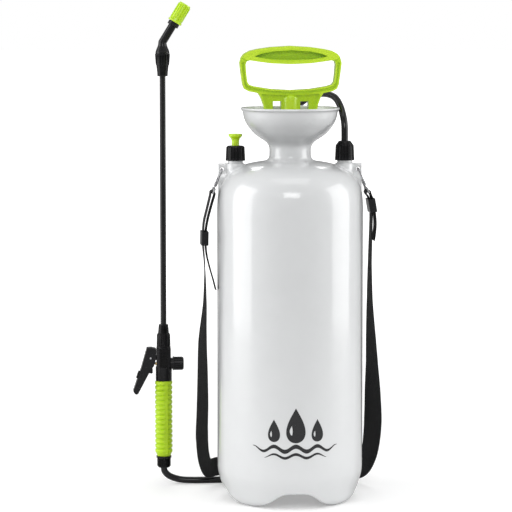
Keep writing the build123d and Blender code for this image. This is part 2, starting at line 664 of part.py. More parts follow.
def lance_body():
    """Tube, square valve block and upper spigot in one piece, with the trigger's ear at -X."""
    with BuildPart() as body:
        add(turned([
            (0, 24.6), (1.9, 24.6), (2.7, 25.6), (2.7, 29.5), (BODY_R, 29.8), (BODY_R, 137.6),
            (10.75, 137.6), (10.75, BLOCK_FOOT), (8.2, BLOCK_FOOT), (8.2, BLOCK_TOP),
            (6.5, BLOCK_TOP), (6.5, BODY_TOP), (0, BODY_TOP)], *LANCE))
        with BuildSketch(flat_at(BLOCK_FOOT, *LANCE)):
            RectangleRounded(BLOCK_W, BLOCK_W, 4.0)
        extrude(amount=BLOCK_TOP - BLOCK_FOOT)
        # grooves across the front and back of the block
        for groove_z in (158.6, 162.6, 166.6, 170.6, 174.6):
            for side in (-1, 1):
                with BuildSketch(front_at(LANCE_X, LANCE_Y + side * BLOCK_W / 2)):
                    with Locations((0, groove_z)):
                        Rectangle(10.0, 1.6)
                extrude(amount=side * 0.9, mode=Mode.SUBTRACT)
        # boss for the valve cap, then the ear for the trigger pin
        with BuildSketch(side_at(LANCE_X + 9.0, LANCE_Y, STEM_Z)):
            Circle(7.4)
        extrude(amount=2.9)
        with BuildSketch(front_at(*LANCE)):
            with Locations((PIVOT_X + 5.1, PIVOT_Z)):
                Rectangle(8.6, 6.2)
            with Locations((PIVOT_X, PIVOT_Z)):
                Circle(3.4)
        extrude(amount=2.4, both=True)
        # lower passage: height, radius, depth
        for z, radius, depth in ((24, 1.5, 6), (29.9, 2.6, 119)):
            with BuildSketch(flat_at(z, *LANCE)):
                Circle(radius)
            extrude(amount=depth, mode=Mode.SUBTRACT)
        # slanting passage from the tube to the valve chamber
        with BuildSketch(front_at(*LANCE)):
            with BuildLine():
                Polyline((-1.5, 145.5), (1.5, 145.5), (9.4, 156.0), (9.4, 159.0), (6.4, 159.0),
                         close=True)
            make_face()
        extrude(amount=1.5, both=True, mode=Mode.SUBTRACT)
        # stepped bore of the valve along X: start from the lance axis, radius, depth
        for x, radius, depth in ((-9.4, 2.5, 5.4), (-5, STEM_R + 0.06, 4), (-3.0, 2.9, 6.4),
                                 (3.2, 4.6, 12)):
            with BuildSketch(side_at(LANCE_X + x, LANCE_Y, STEM_Z)):
                Circle(radius)
            extrude(amount=depth, mode=Mode.SUBTRACT)
        # upper passage and the wand's socket: height, radius, depth
        for z, radius, depth in ((STEM_Z, 2.6, 50), (184.0, WAND_R + WAND_GAP, 30)):
            with BuildSketch(flat_at(z, *LANCE)):
                Circle(radius)
            extrude(amount=depth, mode=Mode.SUBTRACT)
        # pin hole, and a notch below the block on the trigger's side
        with BuildSketch(front_at(*LANCE)):
            with Locations((PIVOT_X, PIVOT_Z)):
                Circle(PIVOT_PIN_R + 0.02)
            with BuildLine():
                Polyline((-12, 137), (-8.3, 137), (-8.3, 156.9), (-12, 156.9), close=True)
            make_face()
        extrude(amount=3.4, both=True, mode=Mode.SUBTRACT)
    return body.part


# ---------------------------------------------------------------- valve
def valve_cap():
    """Ribbed cap on the +X side of the block; profile of x from the lance axis, radius."""
    with BuildPart() as cap:
        add(turned_about(STEM_PLANE, STEM_AXIS, [
            (11.95, 4.65), (11.95, 9.2), (13.6, 9.2), (14.0, 8.4), (25.0, 8.4), (26.1, 7.4),
            (26.1, 0), (24.0, 0), (24.0, 4.65)]))
        with BuildSketch(side_at(LANCE_X + 14.0, LANCE_Y, STEM_Z)):
            with PolarLocations(8.3, 18):
                Rectangle(0.9, 1.3)
        extrude(amount=10.6)
    return cap.part


def valve_stem():
    """Stem along X with a round nose at -X; profile of x from the lance axis, radius."""
    return turned_about(STEM_PLANE, STEM_AXIS, [
        (-12.14, 0), (-11.97, 0.9), (-11.2, 1.72), (-10.14, STEM_R), (-8.0, STEM_R),
        (-8.0, 1.5), (-7.0, 1.5), (-7.0, STEM_R), (3.3, STEM_R), (3.3, 4.0), (5.2, 4.0),
        (5.2, STEM_R), (17.0, STEM_R), (17.4, 1.6), (17.4, 0)])


def stem_o_ring():
    return o_ring(STEM_PLANE, STEM_AXIS, (-7.5, 1.98), 0.45)


def stem_spring():
    return spring((LANCE_X + 5.8, LANCE_Y, STEM_Z), (1, 0, 0), pitch=2.6, height=17.6,
                  radius=3.3, wire_radius=0.4)


# ---------------------------------------------------------------- trigger
# outline from the front: x from the lance axis, height
LEVER = [
    (-21.9, 181.4), (-16.0, 181.6), (-9.9, 180.2), (-9.9, 168.0), (-13.0, 157.5),
    (-18.4, 150.0), (-33.4, 121.6), (-35.2, 120.0), (-37.4, 120.6), (-39.6, 123.0),
    (-40.0, 124.8), (-29.5, 154.8), (-24.6, 172.0)]
# outer face of the lever: local x runs down along it, z points away from the lance
LOCK_FACE = Plane(origin=(LANCE_X - 33.53, LANCE_Y, 143.15), x_dir=(-0.3274, 0, -0.9449),
                  z_dir=(-0.9449, 0, 0.3274))


def trigger():
    with BuildPart() as lever:
        with BuildSketch(front_at(*LANCE)):
            with BuildLine():
                Polyline(*LEVER, close=True)
            make_face()
        extrude(amount=7.0, both=True)
        fillet(lever.edges().filter_by(Axis.Y), radius=0.7)
        # nib on the face towards the lance
        with BuildSketch(front_at(*LANCE)):
            with BuildLine():
                Polyline((-14.3, 153.1), (-14.3, 148.3), (-15.4, 147.0), (-21, 148),
                         (-17.5, 156.5), close=True)
            make_face()
        extrude(amount=2.6, both=True)
        # slot for the ear of the lance body
        with BuildSketch(front_at(*LANCE)):
            with BuildLine():
                Polyline((-9.0, 160.9), (-16.0, 162.6), (-22.4, 166.0), (-22.4, 172.2),
                         (-9.0, 172.2), close=True)
            make_face()
        extrude(amount=2.7, both=True, mode=Mode.SUBTRACT)
        with BuildSketch(front_at(*LANCE)):
            with Locations((PIVOT_X, PIVOT_Z)):
                Circle(PIVOT_PIN_R + CLOSE_GAP)
        extrude(amount=9, both=True, mode=Mode.SUBTRACT)
        # recess for the lock
        with BuildSketch(LOCK_FACE.offset(1.5)):
            RectangleRounded(16.6, 7.2, 1.0)
        extrude(amount=-3.7, mode=Mode.SUBTRACT)
    return lever.part


def trigger_lock():
    """Slide near the upper end of its recess."""
    with BuildPart() as lock:
        with BuildSketch(LOCK_FACE.offset(-2.15)):
            with Locations((-2.6, 0)):
                RectangleRounded(9.6, 7.1, 0.9)
        extrude(amount=4.2)
    return lock.part


def trigger_pin():
    return cross_pin(LANCE_X + PIVOT_X, LANCE_Y, PIVOT_Z, PIVOT_PIN_R, half_length=7.2)


# ---------------------------------------------------------------- wand
SEAL_R = 6.4                             # seals round both ends of the wand
NUT_BORE = 6.55
WAND_HOLE = WAND_R + WAND_GAP            # hole of both nuts round the wand


def wand_nut():
    foot, top = 180.2, 211.6
    envelope = [(7.6, 184.0), (9.0, 184.0), (8.7, 198.4), (7.6, 199.4)]
    with BuildPart() as nut:
        add(turned([
            (NUT_BORE, foot), (9.35, foot), (9.1, 183.4), (8.35, 184.2), (8.35, 199.2),
            (7.2, 200.2), (6.4, 208.8), (6.1, top), (WAND_HOLE, top), (WAND_HOLE, 205.2),
            (NUT_BORE, 205.2)], *LANCE))
        add(flutes(*LANCE, 184, 199.5, radius=8.2, depth=0.8, width=1.3, count=18,
                   envelope=envelope))
    return nut.part


def wand_seal():
    return tube(flat_at(BODY_TOP + 0.1, *LANCE), SEAL_R, WAND_R + CLOSE_GAP, 2.0)


def wand_tube():
    return tube(flat_at(WAND_FOOT, *LANCE), WAND_R, WAND_R - 1.0, WAND_TOP - WAND_FOOT)


def tip_nut():
    foot, top = 535.8, 565.6
    envelope = [(7.6, 550.4), (8.8, 550.6), (9.85, 564.6), (7.6, 565.0)]
    with BuildPart() as nut:
        add(turned([
            (WAND_HOLE, foot), (6.7, foot), (7.0, 541.0), (8.1, 550.0), (8.65, 550.6),
            (8.65, 562.6), (9.3, 564.2), (9.3, top), (NUT_BORE, top), (NUT_BORE, 543.4),
            (WAND_HOLE, 543.4)], *LANCE))
        add(flutes(*LANCE, 550.4, 565.0, radius=8.6, depth=1.0, width=1.4, count=18,
                   envelope=envelope))
    return nut.part


def tip_seal():
    return tube(flat_at(543.5, *LANCE), SEAL_R, WAND_R + CLOSE_GAP, 2.4)


# ---------------------------------------------------------------- elbow and nozzle
BEND_Z = 579.6                           # where the wand's axis bends towards +X
TILT = math.radians(31.5)
ELBOW_R, ELBOW_BORE = 5.25, 2.4
NOZZLE_BORE = 3.0
CORE_FOOT, CORE_SLOT_H, CORE_HEAD_H = 37.5, 8.6, 0.9  # measured from the bend
# profiles of the nozzle are radius, distance from the bend
BEND_PLANE = Plane(origin=(LANCE_X, LANCE_Y, BEND_Z), x_dir=(math.cos(TILT), 0, -math.sin(TILT)),
                   z_dir=(0, -1, 0))
NOZZLE_AXIS = Axis((LANCE_X, LANCE_Y, BEND_Z), (math.sin(TILT), 0, math.cos(TILT)))


def along(distance):
    """Plane square to the nozzle's axis, at a distance from the bend."""
    return Plane(
        origin=(LANCE_X + distance * math.sin(TILT), LANCE_Y, BEND_Z + distance * math.cos(TILT)),
        x_dir=(0, 1, 0), z_dir=(math.sin(TILT), 0, math.cos(TILT)))


def wand_elbow():
    with BuildPart() as elbow:
        add(turned([
            (0, 546.0), (6.5, 546.0), (6.5, 565.8), (9.2, 565.8), (9.2, 567.4), (6.1, 574.6),
            (5.45, 577.4), (ELBOW_R, BEND_Z), (0, BEND_Z)], *LANCE))
        add(turned_about(BEND_PLANE, NOZZLE_AXIS, [
            (0, 0), (ELBOW_R, 0), (ELBOW_R, 24.6), (7.5, 25.0), (7.5, 30.0), (6.3, 30.0),
            (6.3, 45.4), (5.9, 46.0), (0, 46.0)]))
        # ball that rounds the bend
        with BuildSketch(front_at(LANCE_X, LANCE_Y, BEND_Z)):
            with BuildLine():
                ThreePointArc((0, -ELBOW_R), (ELBOW_R, 0), (0, ELBOW_R))
                Line((0, ELBOW_R), (0, -ELBOW_R))
            make_face()
        revolve(axis=axis_at(*LANCE))
        # wand socket, passage up to the bend, passage beyond it, seat of the core
        for plane, radius, depth in (
                (flat_at(545, *LANCE), WAND_R + CLOSE_GAP, 18.0),
                (flat_at(560, *LANCE), ELBOW_BORE, BEND_Z + 1 - 560),
                (along(-1), ELBOW_BORE, 40),
                (along(CORE_FOOT - 0.1), NOZZLE_BORE, 10)):
            with BuildSketch(plane):
                Circle(radius)
            extrude(amount=depth, mode=Mode.SUBTRACT)
    return elbow.part


def nozzle_core():
    """Plug with two side slots, a full disc and a small cone on its end."""
    radius = NOZZLE_BORE - CLOSE_GAP
    disc = CORE_FOOT + CORE_SLOT_H
    with BuildPart() as core:
        with BuildSketch(along(CORE_FOOT)):
            Circle(radius)
            with PolarLocations(radius, 2):
                Rectangle(1.6, 1.2, mode=Mode.SUBTRACT)
        extrude(amount=CORE_SLOT_H)
        with BuildSketch(along(disc)):
            Circle(radius)
        extrude(amount=CORE_HEAD_H)
        with BuildSketch(along(disc + CORE_HEAD_H)):
            Circle(1.4)
        extrude(amount=3.3, taper=16)
    return core.part


def nozzle_o_ring():
    return o_ring(BEND_PLANE, NOZZLE_AXIS, (6.98, 33.0), 0.6)


def nozzle_cap():
    """Ribbed cap with a groove inside for the O-ring."""
    bore = 6.36
    with BuildPart() as cap:
        add(turned_about(BEND_PLANE, NOZZLE_AXIS, [
            (bore, 30.3), (9.45, 30.3), (9.45, 32.0), (8.7, 33.0), (8.5, 34.6), (8.0, 55.8),
            (7.2, 57.4), (3.6, 57.4), (1.0, 54.0), (1.0, 52.0), (1.6, 50.8), (bore, 50.8),
            (bore, 33.7), (7.6, 33.7), (7.6, 32.3), (bore, 32.3)]))
        with BuildSketch(along(35.0)):
            with PolarLocations(8.2, 16):
                Rectangle(1.0, 1.5)
        extrude(amount=20.0)
    return cap.part


# ---------------------------------------------------------------- shoulder strap fittings
HOOK_DX, HOOK_DZ = 0.38, -0.925          # direction of a hanging hook, for the right side
HOOK_HALF = 6.5                          # half width of the hook's loop
RING_NEAR, RING_FAR, RING_HALF = 26.2, 31.8, 13.9
# x, z of each slider and the x, z direction of the webbing through it
SLIDERS = {-1: ((-109.0, 334.5), (0.02, 1.0)), 1: ((103.8, 374.9), (-0.173, 0.985))}


def hook_at(side, distance, y=0.0):
    """Point at a distance along the hook from the eye in the tank's web."""
    return (side * (LUG_X + HOOK_DX * distance), y, LUG_Z + HOOK_DZ * distance)


def hook_bar(side, points, radius):
    """Round bar through points of (distance along the hook, y)."""
    return round_bar([hook_at(side, distance, y) for distance, y in points], radius)


def snap_hook(side):
    """Loop left open in front for the gate, with its swivel stem and knob."""
    loop = [(0.0, 4.5), (0.8, 6.2), (2.6, HOOK_HALF), (14.4, HOOK_HALF), (16.2, 6.0),
            (17.0, 4.0), (17.0, -4.0), (16.2, -6.0), (14.2, -HOOK_HALF)]
    nose = [(0.0, 4.5), (0.0, -4.5), (0.8, -6.2), (2.4, -HOOK_HALF), (4.4, -HOOK_HALF)]
    bars = [hook_bar(side, loop, 1.25), hook_bar(side, nose, 1.25),
            hook_bar(side, [(19.0, 0), (21.6, 0)], 2.2),
            hook_bar(side, [(17.0, 0), (19.0, 0)], 1.3)]
    with BuildPart() as hook:
        add(bars)
    return hook.part


def hook_gate(side):
    bars = hook_bar(side, [(12.0, -HOOK_HALF), (6.7, -HOOK_HALF)], 0.9)
    with BuildPart() as gate:
        add(bars)
    return gate.part


def strap_ring(side):
    """Oblong ring with a short stub towards the hook."""
    oblong = [(RING_NEAR, 0.0), (RING_NEAR, RING_HALF), (RING_FAR, RING_HALF),
              (RING_FAR, -RING_HALF), (RING_NEAR, -RING_HALF), (RING_NEAR, 0.0)]
    bars = [hook_bar(side, oblong, 1.2), hook_bar(side, [(25.2, 0), (RING_NEAR, 0)], 1.2)]
    with BuildPart() as ring:
        add(bars)
    return ring.part


def strap_slider(side):
    """Sleeve with a bar between the two layers of webbing."""
    (x, z), (dx, dz) = SLIDERS[side]
    length, bar_length = 17.0, 29.0
    frame = Plane(origin=(x, 0, z), x_dir=(0, 1, 0), z_dir=(dx, 0, dz))
    with BuildPart() as slider:
        with BuildSketch(frame.offset(-length / 2)):
            RectangleRounded(31.0, 9.2, 2.0)
            Rectangle(27.0, 6.6, mode=Mode.SUBTRACT)
        extrude(amount=length)
        with BuildSketch(Plane(origin=(x, -bar_length / 2, z), x_dir=(1, 0, 0),
                               z_dir=(0, 1, 0))):
            Circle(0.7)
        extrude(amount=bar_length)
    return slider.part


# ---------------------------------------------------------------- webbing
WEB_W, WEB_T = 25.0, 1.5


def over_ring(side, start, end):
    """Stations over a ring's bar, outwards from the tank; start and end are (outward, up)."""
    x, _, z = hook_at(side, RING_FAR)
    turn = [start, (-2.45, 0.8), (-1.4, 2.15), (0, 2.6), (1.4, 2.15), (2.45, 0.8), end]
    return [(x + side * outward, 0, z + up, 0, 1, 0) for outward, up in turn]


# One band: loose end, up through the slider, over the ring's bar, down through the slider
# again, behind the tank, and the same on the other side.
# Columns: centre x, y, z, then the direction of the width x, y, z.
STATIONS = [
    (-94.9, 0, 269.0, 0, 1, 0), (-97.6, 0, 280, 0, 1, 0), (-102.4, 0, 297, 0, 1, 0),
    (-106.1, 0, 313, 0, 1, 0), (-107.4, 0, 326, 0, 1, 0), (-107.25, 0, 343, 0, 1, 0),
    (-104.6, 0, 359, 0, 1, 0), (-99.0, 0, 380, 0, 1, 0),
    *over_ring(-1, (-2.6, -1.8), (2.7, -1.8)),
    (-105.6, 0, 372, 0, 1, 0), (-109.6, 0, 355, 0, 1, 0), (-110.55, 0, 343, 0, 1, 0),
    (-110.7, 0, 326, 0, 1, 0), (-109.6, 0.4, 312, 0.02, 1, 0), (-108.4, 3, 296, 0.06, 1, 0),
    (-108.0, 8, 254, 0.2, 0.98, 0), (-110.3, 18, 204, 0.45, 0.89, 0),
    (-109.4, 32, 154, 0.55, 0.83, 0), (-108.8, 45, 110, 0.62, 0.78, 0),
    (-108.8, 57, 73, 0.66, 0.74, 0.1), (-105.0, 72, 38, 0.5, 0.55, 0.6),
    (-98.5, 85.0, 23.5, 0.2, 0.2, 0.95), (-88, 98.0, 22.6, 0.05, 0.05, 1),
    (-76, 108.0, 22.0, 0, 0, 1), (-58, 112.4, 19.5, 0, 0, 1), (-30, 113, 17, 0, 0, 1),
    (0, 113, 16, 0, 0, 1), (34, 113, 15.6, 0, 0, 1), (64, 111, 15.6, 0, 0, 1),
    (84, 103, 15.8, 0, 0.05, 1), (97, 90.5, 17.0, -0.15, 0.15, 1),
    (105.0, 76, 25.0, -0.4, 0.45, 0.8), (110.4, 62, 44, -0.7, 0.6, 0.35),
    (112.4, 51, 66, -0.8, 0.6, 0.1), (112.6, 41, 93, -0.84, 0.54, 0),
    (110.6, 30, 134, -0.7, 0.71, 0), (108.6, 22, 168, -0.5, 0.87, 0),
    (106.0, 14, 204, -0.36, 0.93, 0), (103.2, 6, 253, -0.14, 0.99, 0),
    (102.4, 1.4, 302, -0.03, 1, 0), (103.2, 0, 345, 0, 1, 0), (103.3, 0, 366.0, 0, 1, 0),
    (100.3, 0, 384.2, 0, 1, 0),
    *over_ring(1, (-2.75, -1.5), (3.0, -1.6)),
    (104.0, 0, 384.6, 0, 1, 0), (107.2, 0, 367.4, 0, 1, 0), (108.6, 0, 352, 0, 1, 0),
    (107.6, 0, 338, 0, 1, 0), (106.4, 0, 330, 0, 1, 0)]


def catmull_rom(before, start, end, after, t):
    """Point at t on the smooth curve from start to end."""
    return tuple(
        0.5 * (2 * b + (c - a) * t + (2 * a - 5 * b + 4 * c - d) * t * t
               + (3 * b - a - 3 * c + d) * t ** 3)
        for a, b, c, d in zip(before, start, end, after))


def webbing_band():
    """Centres and width directions, with extra sections where stations lie far apart."""
    band = []
    last = len(STATIONS) - 1
    for i in range(last):
        rows = [STATIONS[max(i - 1, 0)], STATIONS[i], STATIONS[i + 1],
                STATIONS[min(i + 2, last)]]
        centres = [row[:3] for row in rows]
        gap = (Vector(*centres[2]) - Vector(*centres[1])).length
        steps = 1 if gap < 9 else 2 if gap < 30 else 3
        for k in range(steps):
            t = k / steps
            width = tuple((1 - t) * a + t * b for a, b in zip(rows[1][3:], rows[2][3:]))
            band.append((catmull_rom(*centres, t), width))
    band.append((STATIONS[-1][:3], STATIONS[-1][3:]))
    return band


def strap_webbing():
    band = webbing_band()
    with BuildPart() as webbing:
        for i, (centre, width) in enumerate(band):
            before, after = band[max(i - 1, 0)][0], band[min(i + 1, len(band) - 1)][0]
            heading = (Vector(*after) - Vector(*before)).normalized()
            across = Vector(*width) - heading * Vector(*width).dot(heading)
            with BuildSketch(Plane(origin=centre, x_dir=across, z_dir=heading)):
                Rectangle(WEB_W, WEB_T)
        loft(ruled=True)
    return webbing.part


# ---------------------------------------------------------------- write the pieces
# each function is named after its piece
for build in (
        tank_shell,
        relief_gasket, relief_seat, relief_cap, relief_knob, relief_o_ring, relief_spring,
        outlet_gasket, outlet_spigot, outlet_cap, dip_tube, dip_filter, supply_hose,
        pump_seal_ring, pump_barrel, barrel_foot, check_valve, pump_head, pump_rod,
        piston, piston_nut, piston_cup, pump_handle, handle_pin,
        hose_nut, lance_grip, lance_body, valve_cap, valve_stem, stem_o_ring, stem_spring,
        trigger, trigger_lock, trigger_pin,
        wand_nut, wand_seal, wand_tube, tip_nut, tip_seal,
        wand_elbow, nozzle_core, nozzle_o_ring, nozzle_cap, strap_webbing):
    save(build.__name__, build())

for side, side_name in ((-1, "left"), (1, "right")):
    for build in (snap_hook, hook_gate, strap_ring, strap_slider):
        save(f"{build.__name__}_{side_name}", build(side))
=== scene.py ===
"""A pressure sprayer: a white tank with a funnel top, a lime pump handle, a shoulder strap,
a hose and a lance.

The tank stands on the floor at z = 0 with its axis on Z. Its front, with the printed mark,
faces -Y. The strap's eyes and the two bosses are at -X (left) and +X (right). The hose leaves
the right boss, crosses behind the tank (+Y) and runs to the lance at the left.
Lengths are in metres, except in tables marked mm.
"""
import math

import bmesh
import bpy
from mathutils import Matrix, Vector


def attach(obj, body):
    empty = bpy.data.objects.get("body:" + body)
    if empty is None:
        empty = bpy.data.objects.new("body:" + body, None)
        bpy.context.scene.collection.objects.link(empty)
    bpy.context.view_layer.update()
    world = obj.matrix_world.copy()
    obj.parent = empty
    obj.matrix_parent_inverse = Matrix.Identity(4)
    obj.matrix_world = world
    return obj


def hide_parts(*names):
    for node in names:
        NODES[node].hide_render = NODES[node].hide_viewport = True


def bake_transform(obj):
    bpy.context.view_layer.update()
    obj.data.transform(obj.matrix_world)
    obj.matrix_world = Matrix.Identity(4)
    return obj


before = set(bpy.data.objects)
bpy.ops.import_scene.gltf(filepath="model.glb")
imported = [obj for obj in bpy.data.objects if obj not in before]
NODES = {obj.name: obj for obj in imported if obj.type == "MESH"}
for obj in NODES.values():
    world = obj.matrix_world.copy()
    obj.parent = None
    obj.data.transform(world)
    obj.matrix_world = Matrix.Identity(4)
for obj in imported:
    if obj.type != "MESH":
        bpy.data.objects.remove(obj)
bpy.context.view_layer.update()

# ------------------------------------------------------------------ shared dimensions
TANK_R = 0.0925
WALL_FOOT, WALL_TOP = 0.0445, 0.372      # the straight part of the tank's wall
EYE_X, EYE_Z = 0.0866, 0.4212            # the strap's eye in the web outside each boss
SIDES = (-1, 1)                          # left, right


# ------------------------------------------------------------------ shader helpers
def feed(tree, socket, value):
    """Link the value if it is a socket, otherwise set it."""
    if isinstance(value, bpy.types.NodeSocket):
        tree.links.new(value, socket)
    else:
        socket.default_value = value


def add(tree, kind, inputs=None, **settings):
    node = tree.nodes.new("ShaderNode" + kind)
    for key, value in settings.items():
        setattr(node, key, value)
    for key, value in (inputs or {}).items():
        feed(tree, node.inputs[key], value)
    return node


def new_material(name):
    material = bpy.data.materials.new(name)
    material.use_nodes = True
    tree = material.node_tree
    tree.nodes.clear()
    output = add(tree, "OutputMaterial")
    shader = add(tree, "BsdfPrincipled")
    tree.links.new(shader.outputs["BSDF"], output.inputs["Surface"])
    return material, tree, shader


def set_shader(tree, shader, values):
    for key, value in values.items():
        feed(tree, shader.inputs[key], value)


def object_coords(tree):
    return add(tree, "TexCoord").outputs["Object"]


def mapped(tree, coords, scale):
    mapping = add(tree, "Mapping", {"Scale": scale, "Vector": coords})
    return mapping.outputs["Vector"]


def noise(tree, coords, scale, **more):
    inputs = {"Scale": scale, "Vector": coords}
    inputs.update({key.capitalize(): value for key, value in more.items()})
    return add(tree, "TexNoise", inputs).outputs["Fac"]


def split(tree, vector):
    return add(tree, "SeparateXYZ", {0: vector}).outputs


def calc(tree, operation, *values):
    return add(tree, "Math", dict(enumerate(values)), operation=operation).outputs[0]


def remap(tree, source, over=(0.3, 0.7), to=(0.0, 1.0)):
    """Map the range `over` linearly to the range `to`, clamped."""
    node = add(tree, "MapRange", {
        "Value": source, "From Min": over[0], "From Max": over[1],
        "To Min": to[0], "To Max": to[1]})
    return node.outputs["Result"]


def mix_rgb(tree, factor, first, second):
    def colour(value):
        return value if isinstance(value, bpy.types.NodeSocket) else (*value, 1.0)
    node = add(tree, "Mix", data_type="RGBA")
    set_shader(tree, node, {0: factor, 6: colour(first), 7: colour(second)})
    return node.outputs[2]


def bump(tree, height, strength, distance, under=None):
    """A bump node, laid over the bump node `under` if there is one."""
    node = add(tree, "Bump", {"Strength": strength, "Distance": distance, "Height": height})
    if under is not None:
        tree.links.new(under.outputs["Normal"], node.inputs["Normal"])
    return node


def scaled(rgb, factor):
    return tuple(c * factor for c in rgb)


# ------------------------------------------------------------------ materials
def plastic(name, rgb, rough=0.35, vary=0.08, grain=0.05, grain_scale=1400.0, coat=0.0,
            edge=0.25, edge_rgb=None, flow=0.0, uneven=(0.06, 0.08), rim_shade=0.0, spec=0.5,
            seam=0.0, shade=0.0):
    """Moulded plastic.

    vary: slow colour variation; grain: fine bump; edge: how far convex edges go to edge_rgb;
    flow: slow bump; uneven: roughness taken below and above rough; rim_shade: painted shade on
    walls seen edge-on; seam: parting line; shade: darkening under the funnel.
    """
    material, tree, shader = new_material(name)
    coords = object_coords(tree)
    vector = mapped(tree, coords, scale=(1, 1, 1))
    slow = noise(tree, vector, scale=38.0, detail=4.0)
    fine = noise(tree, vector, scale=grain_scale, detail=2.0)
    dark = scaled(rgb, 1 - vary)
    light = tuple(min(1.0, c * (1 + vary)) for c in rgb)
    colour = mix_rgb(tree, remap(tree, slow, over=(0.35, 0.65)), dark, light)
    geometry = add(tree, "NewGeometry")
    edge_rgb = edge_rgb or tuple(min(1.0, c * 1.35 + 0.02) for c in rgb)
    convex = remap(tree, geometry.outputs["Pointiness"], over=(0.515, 0.58), to=(0, edge))
    colour = mix_rgb(tree, convex, colour, edge_rgb)
    if rim_shade:
        # painted shade: walls seen edge-on are darkened, less where they face up
        facing = add(tree, "LayerWeight", {"Blend": 0.5}).outputs["Facing"]
        normal = split(tree, geometry.outputs["Normal"])
        painted_rim_shade = calc(tree, "MULTIPLY",
                       remap(tree, facing, over=(0.55, 1.0), to=(0, rim_shade)),
                       remap(tree, normal["Z"], over=(0.15, 0.65), to=(1.0, 0.1)))
        colour = mix_rgb(tree, painted_rim_shade, colour, scaled(rgb, 0.45))
    if shade:
        # the funnel's underside stays in its own shade
        normal = split(tree, geometry.outputs["Normal"])
        place = split(tree, coords)
        shaded = calc(tree, "MULTIPLY",
                      remap(tree, normal["Z"], over=(-0.80, 0.0), to=(shade, 0.0)),
                      remap(tree, place["Z"], over=(0.436, 0.452)))
        colour = mix_rgb(tree, shaded, colour, scaled(rgb, 0.5))
    gloss = noise(tree, vector, scale=210.0, detail=6.0, roughness=0.7)
    roughness = remap(tree, gloss, to=(max(0.03, rough - uneven[0]), rough + uneven[1]))
    surface = bump(tree, fine, strength=grain, distance=0.0004)
    if flow:
        waves = bump(tree, slow, strength=flow, distance=0.0015)
        tree.links.new(waves.outputs["Normal"], surface.inputs["Normal"])
    if seam:
        # the mould's parting line, at y = 0 down the left and right sides
        off_seam = calc(tree, "ABSOLUTE", split(tree, coords)["Y"])
        ridge = remap(tree, off_seam, over=(0.0003, 0.0011), to=(1.0, 0.0))
        surface = bump(tree, ridge, strength=seam, distance=0.0004, under=surface)
    set_shader(tree, shader, {
        "Base Color": colour, "Roughness": roughness, "Normal": surface.outputs["Normal"],
        "IOR": 1.5, "Specular IOR Level": spec})
    if coat:
        set_shader(tree, shader, {"Coat Weight": coat, "Coat Roughness": 0.08})
    return material


def metal(name, rgb, rough=0.14, brushed=False):
    material, tree, shader = new_material(name)
    stretch, strength = (12.0, 0.26) if brushed else (1.0, 0.06)
    vector = mapped(tree, object_coords(tree), scale=(1, 1, stretch))
    streaks = noise(tree, vector, scale=420.0, detail=5.0)
    roughness = remap(tree, streaks, to=(rough * 0.7, rough * 1.7))
    colour = mix_rgb(tree, remap(tree, streaks, over=(0.3, 0.75)), scaled(rgb, 0.86), rgb)
    surface = bump(tree, streaks, strength=strength, distance=0.0002)
    set_shader(tree, shader, {
        "Roughness": roughness, "Base Color": colour, "Metallic": 1.0,
        "Normal": surface.outputs["Normal"]})
    return material


def webbing():
    """Woven webbing from its own UVs: u runs along the band in metres, v across it, 0 to 1."""
    pitch, columns = 0.0016, 9.0
    material, tree, shader = new_material("black_webbing_weave")
    band_uv = split(tree, add(tree, "UVMap", uv_map="band").outputs["UV"])
    fuzz = noise(tree, object_coords(tree), scale=900.0, detail=3.0)

    def along():
        return calc(tree, "MULTIPLY", band_uv["X"], math.tau / pitch)

    wobble = calc(tree, "MULTIPLY", calc(tree, "SUBTRACT", fuzz, 0.5), 0.9)
    ribs = calc(tree, "SINE", calc(tree, "ADD", along(), wobble))
    across = calc(tree, "SINE", calc(tree, "MULTIPLY", band_uv["Y"], math.tau * columns))
    # columns shift the ribs by half a pitch, as in a plain weave
    shift = calc(tree, "MULTIPLY", calc(tree, "SIGN", across), math.pi / 2)
    weave = calc(tree, "SINE", calc(tree, "ADD", along(), shift))
    height = calc(tree, "ADD", calc(tree, "MULTIPLY", ribs, 0.55),
                  calc(tree, "MULTIPLY", weave, 0.45))
    # the selvedge: |2v - 1| to a high power rises only at the band's edges
    centred = calc(tree, "SUBTRACT", calc(tree, "MULTIPLY", band_uv["Y"], 2.0), 1.0)
    selvedge = calc(tree, "POWER", calc(tree, "ABSOLUTE", centred), 14.0)
    relief = calc(tree, "ADD", height, calc(tree, "MULTIPLY", selvedge, 1.2))
    woven = bump(tree, relief, strength=0.85, distance=0.00035)
    surface = bump(tree, fuzz, strength=0.3, distance=0.0002, under=woven)
    colour = mix_rgb(tree, remap(tree, height, over=(-0.6, 0.9)),
                     (0.0025, 0.0025, 0.0028), (0.013, 0.013, 0.014))
    colour = mix_rgb(tree, remap(tree, fuzz, over=(0.45, 0.8), to=(0, 0.35)),
                     colour, (0.026, 0.026, 0.028))
    set_shader(tree, shader, {
        "Normal": surface.outputs["Normal"], "Base Color": colour, "Roughness": 0.72,
        "Specular IOR Level": 0.15, "Sheen Weight": 0.08, "Sheen Roughness": 0.5})
    return material


def printed_ink():
    material, tree, shader = new_material("printed_grey_ink")
    mottle = remap(tree, noise(tree, object_coords(tree), scale=700.0))
    colour = mix_rgb(tree, mottle, (0.008, 0.008, 0.009), (0.016, 0.016, 0.018))
    set_shader(tree, shader, {"Base Color": colour, "Roughness": 0.4})
    return material


